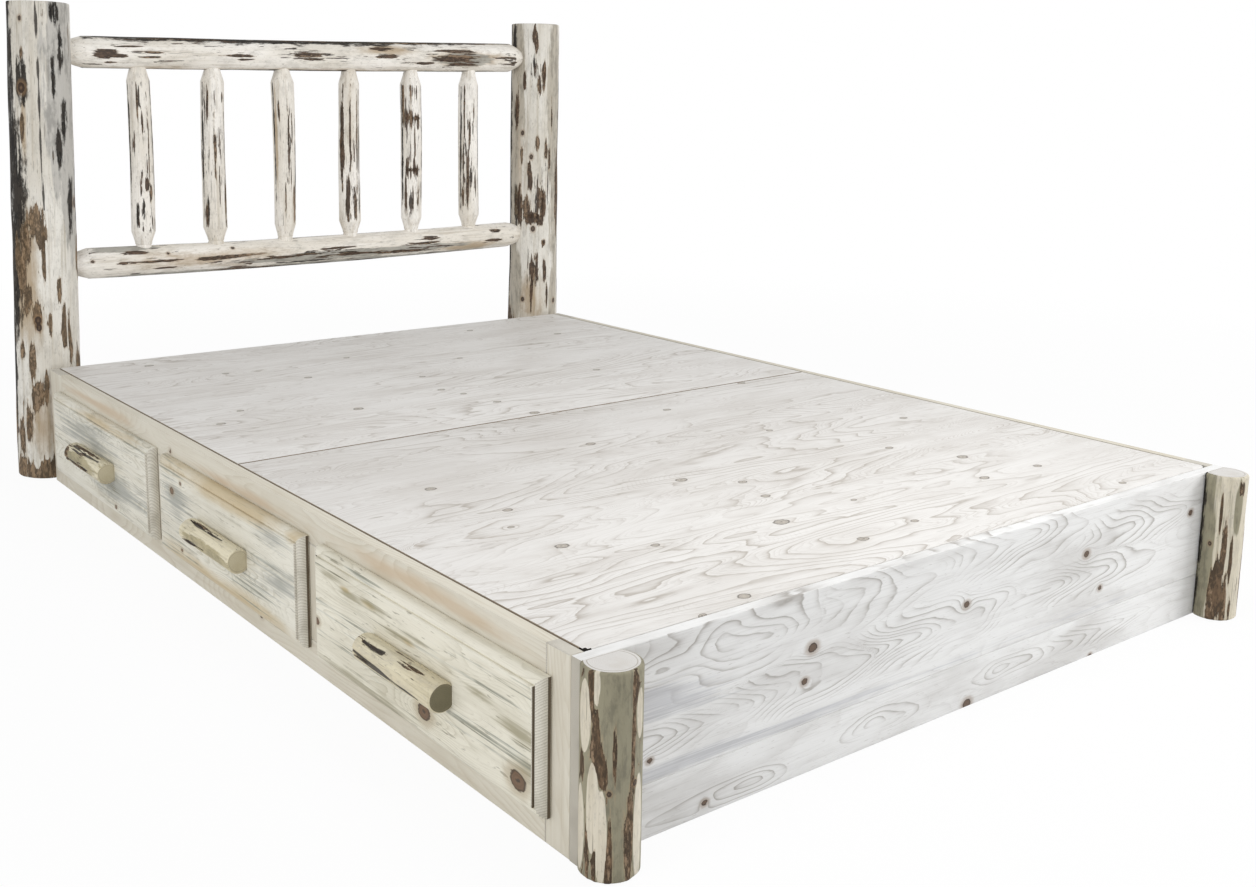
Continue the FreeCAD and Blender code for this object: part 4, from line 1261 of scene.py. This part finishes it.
def necked(pairs):
    """A spindle's profile with a short cone and a long thin neck in place of each long cone."""
    neck = pairs[0][1] + neck_growth
    wide = [pair for pair in pairs if pair[1] > neck]
    thin = [pair for pair in pairs if pair[1] <= neck]
    cones = []
    for shoulder, radius, turn in ((*wide[0], -1), (*wide[-1], 1)):
        cones.append((shoulder + turn * shoulder_flare, neck))
        cones.append((shoulder + turn * shoulder_flare / 2, (neck + radius) / 2))
        cones.append((shoulder + turn * shoulder_flare / 6, radius * 0.97))
    return tuple(sorted(thin + wide + cones))


def spindles():
    for number, node in enumerate(sorted(name for name in frame["nodes"] if name.startswith("spindle_"))):
        low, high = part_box(node)
        start, end = (
            Vector(((low.x + high.x) / 2 + lean, (low.y + high.y) / 2, z))
            for z, lean in zip((low.z, high.z), spindle_leans[number])
        )
        make_log(
            node, start, end, TO_FOOT, necked(cad_profile(node)), 51 + number * 3,
            spindle_defaults | spindle_marks[number], "peeled_log_rail", rail_woods,
            step=0.004, around=64, rough=0.03, calm=0.06, sag=spindle_sways[number],
        )


# Foot posts
foot_marks = {
    "left": {
        "bark_level": -0.75, "rim_level": 0.1, "skin_and_shade_level": 1.2, "warm_level": -0.9, "slit_level": -1.2,
        "bark": (
            (-79, 215, 6, 45), (-66, 160, 8, 45), (-52, 135, 5, 25), (-32, 165, 2.5, 45),
            (-100, 140, 6, 25), (-82, 50, 3.5, 70), (-66, 30, 4, 60), (-42, 25, 6, 50), (0, 50, 8, 70),
            (6, 170, 3, 70), (12, 235, 4, 20), (100, 120, 20, 100),
        ),
        "bare_and_highlight": (
            (-94, 198, 13, 50), (-72, 90, 10, 64), (-106, 60, 11, 60), (-54, 55, 7.5, 68),
            # On the next line, the place at 26 degrees and 200 mm paints a highlight on the lit edge; the
            # other bare places are real pale wood.
            (24, 60, 10, 75), (26, 200, 8, 35), (-65, 240, 4, 30),
        ),
        "knots": ((-40, 111, 3.2), (11, 119, 3.6)),
    },
    "right": {
        "bark_level": -0.9, "rim_level": -0.02, "skin_and_shade_level": -0.15, "warm_level": -0.5, "slit_level": -0.6,
        "bark": (
            (-58, 50, 10, 55), (-40, 30, 6, 50), (-72, 30, 6, 60), (-50, 120, 4, 50), (-30, 100, 3, 40),
            (34, 100, 7, 100), (44, 200, 6, 40), (22, 40, 4, 50), (-12, 235, 6, 12), (-22, 20, 3, 30),
            (-64, 190, 2, 30),
        ),
        # The skin band at -102 degrees and the soot band at -124 degrees paint shade on the post's flank
        # beside the footboard.
        "skin_and_shade": ((-102, 130, 18, 200), (-20, 200, 8, 50)),
        "soot_and_shade": ((-124, 130, 10, 200),),
        "knots": ((-86, 135, 3.5),),
    },
}
foot_rim = 0.004


def foot_posts():
    for number, side in enumerate(sides):
        node = "foot_post_" + side
        low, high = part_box(node)
        radius = (high.x - low.x) / 2
        start, end = (Vector((low.x + radius, low.y + radius, z)) for z in (low.z, high.z))
        make_log(
            node, start, end, TO_FOOT, rim_profile(high.z - low.z, radius, radius, foot_rim),
            71 + number * 5, foot_marks[side], "peeled_log_foot", ("foot_log_wood", "log_end_wood"),
            step=0.003, around=96, rough=0.010, keep=inside(low, high),
        )


# Deck. A knot is (across the bed, from the footboard's front, radius), from the footboard's left end.
deck_knots = (
    (193, 1876, 8), (603, 1712, 6), (110, 1272, 7), (182, 1350, 6), (379, 1235, 9), (605, 1291, 7),
    (623, 1232, 6), (640, 1428, 6), (640, 1131, 7), (647, 1009, 9), (1203, 1695, 8), (1005, 1272, 7),
    (210, 677, 8), (248, 514, 7), (205, 442, 5), (216, 331, 9), (592, 755, 8), (573, 484, 9),
    (648, 417, 7), (623, 338, 7), (548, 228, 11), (588, 103, 8), (998, 200, 8), (1077, 306, 9),
    (1136, 193, 7), (1018, 423, 7), (326, 257, 6), (722, 242, 5), (716, 115, 6), (1163, 47, 6),
    (203, 21, 5), (290, 38, 8), (880, 880, 7), (1180, 980, 8), (820, 1560, 6), (430, 1560, 7),
    (1040, 1860, 7), (300, 1700, 6), (930, 640, 6), (1220, 560, 7),
)
deck_bold = ((200, 100, 600, 200), (620, 80, 300, 140), (800, 450, 300, 140))
deck_ground = (0.28, 0.25)
deck_shades = {"foot": ((550, 800, 950, 620),), "head": ()}
deck_island = (0.189, 0.442)
seam_gap = 0.0006
deck_edge = 0.0015
knot_margin = 20


def knots_on(knots, shift, extent):
    """The knots of a face, in its own millimetres, that lie on a board of it or near its edge."""
    moved = [(along + shift[0] / MM, across + shift[1] / MM, radius) for along, across, radius in knots]
    return [knot for knot in moved if -knot_margin < knot[1] < extent / MM + knot_margin]


def deck():
    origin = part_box("footboard_upper_board")[0]
    for number, name in enumerate(("foot", "head")):
        node = "deck_panel_" + name
        low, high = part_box(node)
        shift = origin - low
        knots = knots_on(deck_knots, shift, high.y - low.y)
        if name == "foot":
            edge_slots = 0, 1
            chips = (low.x, low.y), (high.x, low.y)
            island = deck_island[0], deck_island[1] + shift.y
            figure = peeled_veneer(103, 6.5, 0.5, 0.15, 0.028, island, deck_bold, deck_ground)
            high.y -= seam_gap
        else:
            edge_slots = 1, 0
            chips = ()
            figure = peeled_veneer(104, 4.0, 0.9, 0.13, 0.022, ground=deck_ground)
            low.y += seam_gap
        make_board(
            node, "deck_sheet", ("deck_wood", "deck_edge_shade_wood", "chip_shadow_wood"), low, high, 0, 2,
            101 + number, 0.0045, front=soft_edge(deck_edge), knots=knots, figure=figure,
            stain_level=-0.6, warm_level=-0.7, edge_slots=edge_slots, chips=chips, shades=deck_shades[name],
        )


# Footboard. A knot is (place from the left end, height, radius).
footboard_knots = (
    (380, 176, 6.5), (367, 132, 4.5), (700, 162, 5), (998, 178, 5.5), (1303, 190, 5), (715, 5, 7),
    (1030, 0, 4), (196, 17, 4), (105, 101, 3.5), (1043, 112, 4),
)
footboard_rings = {
    "upper": (
        ("oval", 238, 150, 200, 80, 6), ("arrow", 360, 62, 170, 45, 7), ("arrow", 130, 52, 110, 28, 5),
        ("arrow", 620, 70, 240, 50, 8), ("arrow", 500, 150, 120, 50, 4), ("arrow", 800, 165, 200, 55, 7),
        ("arrow", 1020, 70, 200, 40, 6), ("arrow", 1150, 130, 200, 45, 6),
    ),
    "lower": (
        ("oval", 250, 20, 160, 22, 4), ("oval", 520, 35, 120, 26, 4), ("oval", 800, 40, 140, 24, 4),
        ("arrow", 1050, 40, 160, 26, 5),
    ),
}
footboard_stains = {"upper": ((200, 11, 900, 12), (120, 100, 140, 30)), "lower": ()}
footboard_ground = 0.18


def footboard():
    for number, name in enumerate(("lower", "upper")):
        node = "footboard_" + name + "_board"
        low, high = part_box(node)
        make_board(
            node, "footboard_pine", ("footboard_wood", "footboard_end_wood"), low, high, 0, 1,
            121 + number, 0.004, -1, knots=knots_on(footboard_knots, (0, -low.z), high.z - low.z),
            figure=drawn_rings(121, footboard_rings[name], footboard_ground),
            stains=footboard_stains[name], stain_level=-0.55, warm_level=-0.7,
        )


# Side frames
inner_edge = 0.0012
top_rail_warm = ((270, 30, 360, 16), (950, 20, 300, 12), (1600, 30, 300, 14))
side_rails = {
    "top_rail": {"knots": ((1180, 20, 5),), "warm": top_rail_warm},
    "bottom_rail": {"knots": ((800, 30, 6),)},
}


def side_frames():
    seed = 140
    for side, sign in sides.items():
        for part, marks in side_rails.items():
            node = side + "_side_" + part
            make_board(
                node, "side_frame_pine", ("side_wood", "side_end_wood", "shadow_edge_wood"), *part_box(node),
                1, 0, seed, 0.008, sign, stain_level=-0.6, warm_level=-0.35,
                back_slots=(0, painted_shade_slot), back=soft_edge(inner_edge), **marks,
            )
            seed += 1
        node = side + "_side_stiles"
        piece = Piece()
        for low, high in corners(node):
            add_board(piece, low, high, 2, 0, seed, 0.012, sign, stain_level=-0.6, warm_level=-0.4)
            seed += 1
        piece.make(node, "side_frame_pine", ("side_wood", "side_end_wood"))


# Drawers
front_marks = {
    "left_foot": {
        "stain_level": -0.62, "warm_level": -0.7,
        "knots": ((41, 36, 13), (259, 41, 12), (567, 67, 6)),
        "stains": (
            (530, 150, 50, 7), (460, 138, 50, 6), (390, 143, 50, 8), (330, 124, 50, 8), (270, 134, 50, 7),
            (200, 122, 50, 7), (130, 115, 50, 8), (40, 97, 60, 12), (450, 12, 250, 12), (20, 55, 40, 20),
        ),
        "warm": ((405, 142, 30, 6), (476, 143, 20, 5), (300, 125, 30, 7)),
    },
    "left_middle": {
        "stain_level": -0.75, "warm_level": -0.65,
        "knots": ((468, 151, 4), (472, 27, 4), (510, 128, 7)),
        "stains": ((70, 152, 90, 22), (70, 82, 130, 36), (500, 118, 80, 45)),
        "warm": ((300, 172, 420, 26), (20, 172, 60, 20), (300, 10, 360, 30)),
    },
    "left_head": {
        "stain_level": -0.6, "warm_level": -0.75,
        "knots": ((190, 19, 5), (4, 65, 5)),
        "stains": ((330, 130, 250, 40), (200, 60, 300, 40)),
        "warm": ((260, 172, 300, 10),),
    },
}
plain_front_marks = {
    "stain_level": -0.45, "warm_level": -0.6,
    "knots": ((170, 60, 8), (430, 120, 6)),
}
band_round = 0.011
field_rise = 0.003
quirk_depth = quirk_width = 0.0016
field_edge = 0.0012
# Fronts whose ends take painted shade, with the rows of their profile that take it too: the foot front's
# quirk
shaded_front_rows = {"left_foot": (5, 7), "left_middle": ()}


def drawers():
    """The name of each drawer, and the direction of its side."""
    return [(side + "_" + bay, sign) for side, sign in sides.items() for bay in bays]


def moulded_edge():
    """The profile of a drawer front's edge: a round band, a quirk and the raised field; the foot front's
    quirk is painted dark as shade.
    """
    pairs = []
    for angle in np.linspace(0, math.pi / 2, 6):
        pairs.append((band_round * (1 - math.cos(angle)), field_rise + band_round * (1 - math.sin(angle))))
    low = field_rise + quirk_depth
    side = band_round + quirk_width
    pairs += [(side - quirk_width / 2, low), (side, low)]
    return tuple(pairs + [(side + field_edge / 3, field_edge / 2), (side + field_edge, 0.0)])


def drawer_fronts():
    for number, (drawer, sign) in enumerate(drawers()):
        node = drawer + "_drawer_front"
        seed = 200 + number
        wood = "foot_front_wood" if drawer == "left_foot" else "front_wood"
        make_board(
            node, "drawer_front_pine", (wood, "front_end_wood", "front_side_shade_wood"), *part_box(node), 1, 0,
            seed, 0.0045, sign, front=moulded_edge(), figure=peeled_veneer(seed, 1.6, 0.55, 0.10, 0.011),
            ring_slot=painted_shade_slot if drawer in shaded_front_rows else end_slot, crease=50,
            dark_rows=shaded_front_rows.get(drawer, ()), **front_marks.get(drawer, plain_front_marks),
        )


pull_marks = {
    "left_foot": {
        "crack_width": 2.2,
        "cracks": (
            ((-30, 30), (-24, 80), (-12, 140), (2, 205)), ((-36, 50), (-30, 120), (-20, 205)),
            ((60, 130), (52, 160), (58, 190)),
        ),
        "bark": ((-14, 180, 2.5, 30), (74, 60, 2, 30)),
        "slit": ((58, 160, 4, 50), (66, 60, 3, 50)),
    },
    "left_middle": {
        "skin_and_shade_level": 0.0, "warm_level": -0.1,
        "cracks": (((84, 60), (76, 120), (84, 195)), ((-20, 100), (-28, 205))),
        "bark": ((88, 160, 3, 40), (-34, 170, 3, 30)),
        "slit": ((86, 120, 4, 90), (58, 50, 3, 40)),
        "skin_and_shade": ((-5, 90, 16, 120),),
    },
    "left_head": {
        "skin_and_shade_level": 0.1, "warm_level": 0.1,
        "cracks": (((70, 30), (62, 100), (74, 190)), ((-16, 60), (-24, 205))),
        "bark": ((10, 198, 22, 14), (86, 120, 4, 70), (-30, 120, 4, 60)),
        "slit": ((60, 120, 10, 80),),
        "skin_and_shade": ((0, 130, 20, 140),),
    },
}
plain_pull_marks = {
    "cracks": (((30, 40), (38, 120), (28, 180)),),
    "bark": ((-30, 150, 3, 20),),
}
pull_defaults = {"skin_and_shade_level": -0.45, "slit_level": -0.25, "warm_level": -0.4, "crack_width": 1.5}
pull_rim = 0.002
pull_taper = 0.97


def drawer_pulls():
    for number, (drawer, sign) in enumerate(drawers()):
        node = drawer + "_drawer_pull"
        low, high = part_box(node)
        radius = (high.z - low.z) / 2
        axis_x = (low.x if sign < 0 else high.x) - sign * radius
        start, end = (Vector((axis_x, y, low.z + radius)) for y in (low.y, high.y))
        profile = rim_profile(high.y - low.y, radius, radius * pull_taper, pull_rim)
        # The foot pull's end takes the darker end wood, as painted shade
        woods = "pull_wood", "shaded_pull_end_wood" if drawer == "left_foot" else "pull_end_wood"
        make_log(
            node, start, end, RIGHT * sign, profile, 240 + number * 4,
            pull_defaults | pull_marks.get(drawer, plain_pull_marks), "pull_log", woods,
            step=0.003, around=120, rough=0.02, keep=inside(low, high), crease=45,
        )


wall = 0.012
wall_cell, bottom_cell = 0.04, 0.03
drawer_woods = "drawer_wood", "front_end_wood"


def drawer_boxes():
    seed = 280
    for drawer, _ in drawers():
        node = drawer + "_drawer_box"
        low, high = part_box(node)
        piece = Piece()
        for corner, opposite, grain_axis, depth_axis in (
            (low, (high.x, low.y + wall, high.z), 0, 1),
            ((low.x, high.y - wall, low.z), high, 0, 1),
            ((low.x, low.y + wall, low.z), (low.x + wall, high.y - wall, high.z), 1, 0),
            ((high.x - wall, low.y + wall, low.z), (high.x, high.y - wall, high.z), 1, 0),
        ):
            add_board(piece, corner, opposite, grain_axis, depth_axis, seed, wall_cell)
            seed += 1
        piece.make(node, "drawer_wood", drawer_woods)
        node = drawer + "_drawer_bottom"
        make_board(
            node, "drawer_wood", drawer_woods, *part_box(node), 1, 2, seed, bottom_cell,
            figure=peeled_veneer(seed), stain_level=-0.5,
        )
        seed += 1


# Boards inside the box: the node, the axis of its grain, the axis of its depth and its wood
head_panel_knots = ((220, 70, 9), (580, 160, 6), (910, 50, 11), (1120, 180, 7))
head_panel_marks = {"knots": head_panel_knots, "stain_level": -0.6, "warm_level": -0.5}
carcass_cell, head_panel_cell = 0.05, 0.012
carcass_plan = (
    ("head_panel", 0, 1, "side_wood"),
    ("centre_spine", 1, 0, "inner_wood"),
    ("cross_dividers", 0, 1, "inner_wood"),
    ("drawer_runners", 0, 2, "inner_wood"),
    ("drawer_guides", 0, 2, "inner_wood"),
    ("deck_cleats", None, 2, "inner_wood"),
)


def carcass():
    seed = 340
    for node, grain_axis, depth_axis, wood in carcass_plan:
        cell, marks = (head_panel_cell, head_panel_marks) if node == "head_panel" else (carcass_cell, {})
        piece = Piece()
        for low, high in corners(node):
            longest = int(high[1] - low[1] >= high[0] - low[0])
            axis = longest if grain_axis is None else grain_axis
            add_board(piece, low, high, axis, depth_axis, seed, cell, **marks)
            seed += 1
        piece.make(node, "carcass_pine", (wood, "side_end_wood"))


def fasteners():
    for name, node in frame["nodes"].items():
        if name.endswith(("_screws", "_bolts")):
            for slot in node.material_slots:
                slot.material = materials["plated_steel"]


for make in (
    make_camera, make_world, make_lamps, make_floor, make_materials, head_posts, head_rails, spindles,
    foot_posts, deck, footboard, side_frames, drawer_fronts, drawer_pulls, drawer_boxes, carcass, fasteners,
):
    make()

bpy.context.scene.view_settings.view_transform = "Standard"
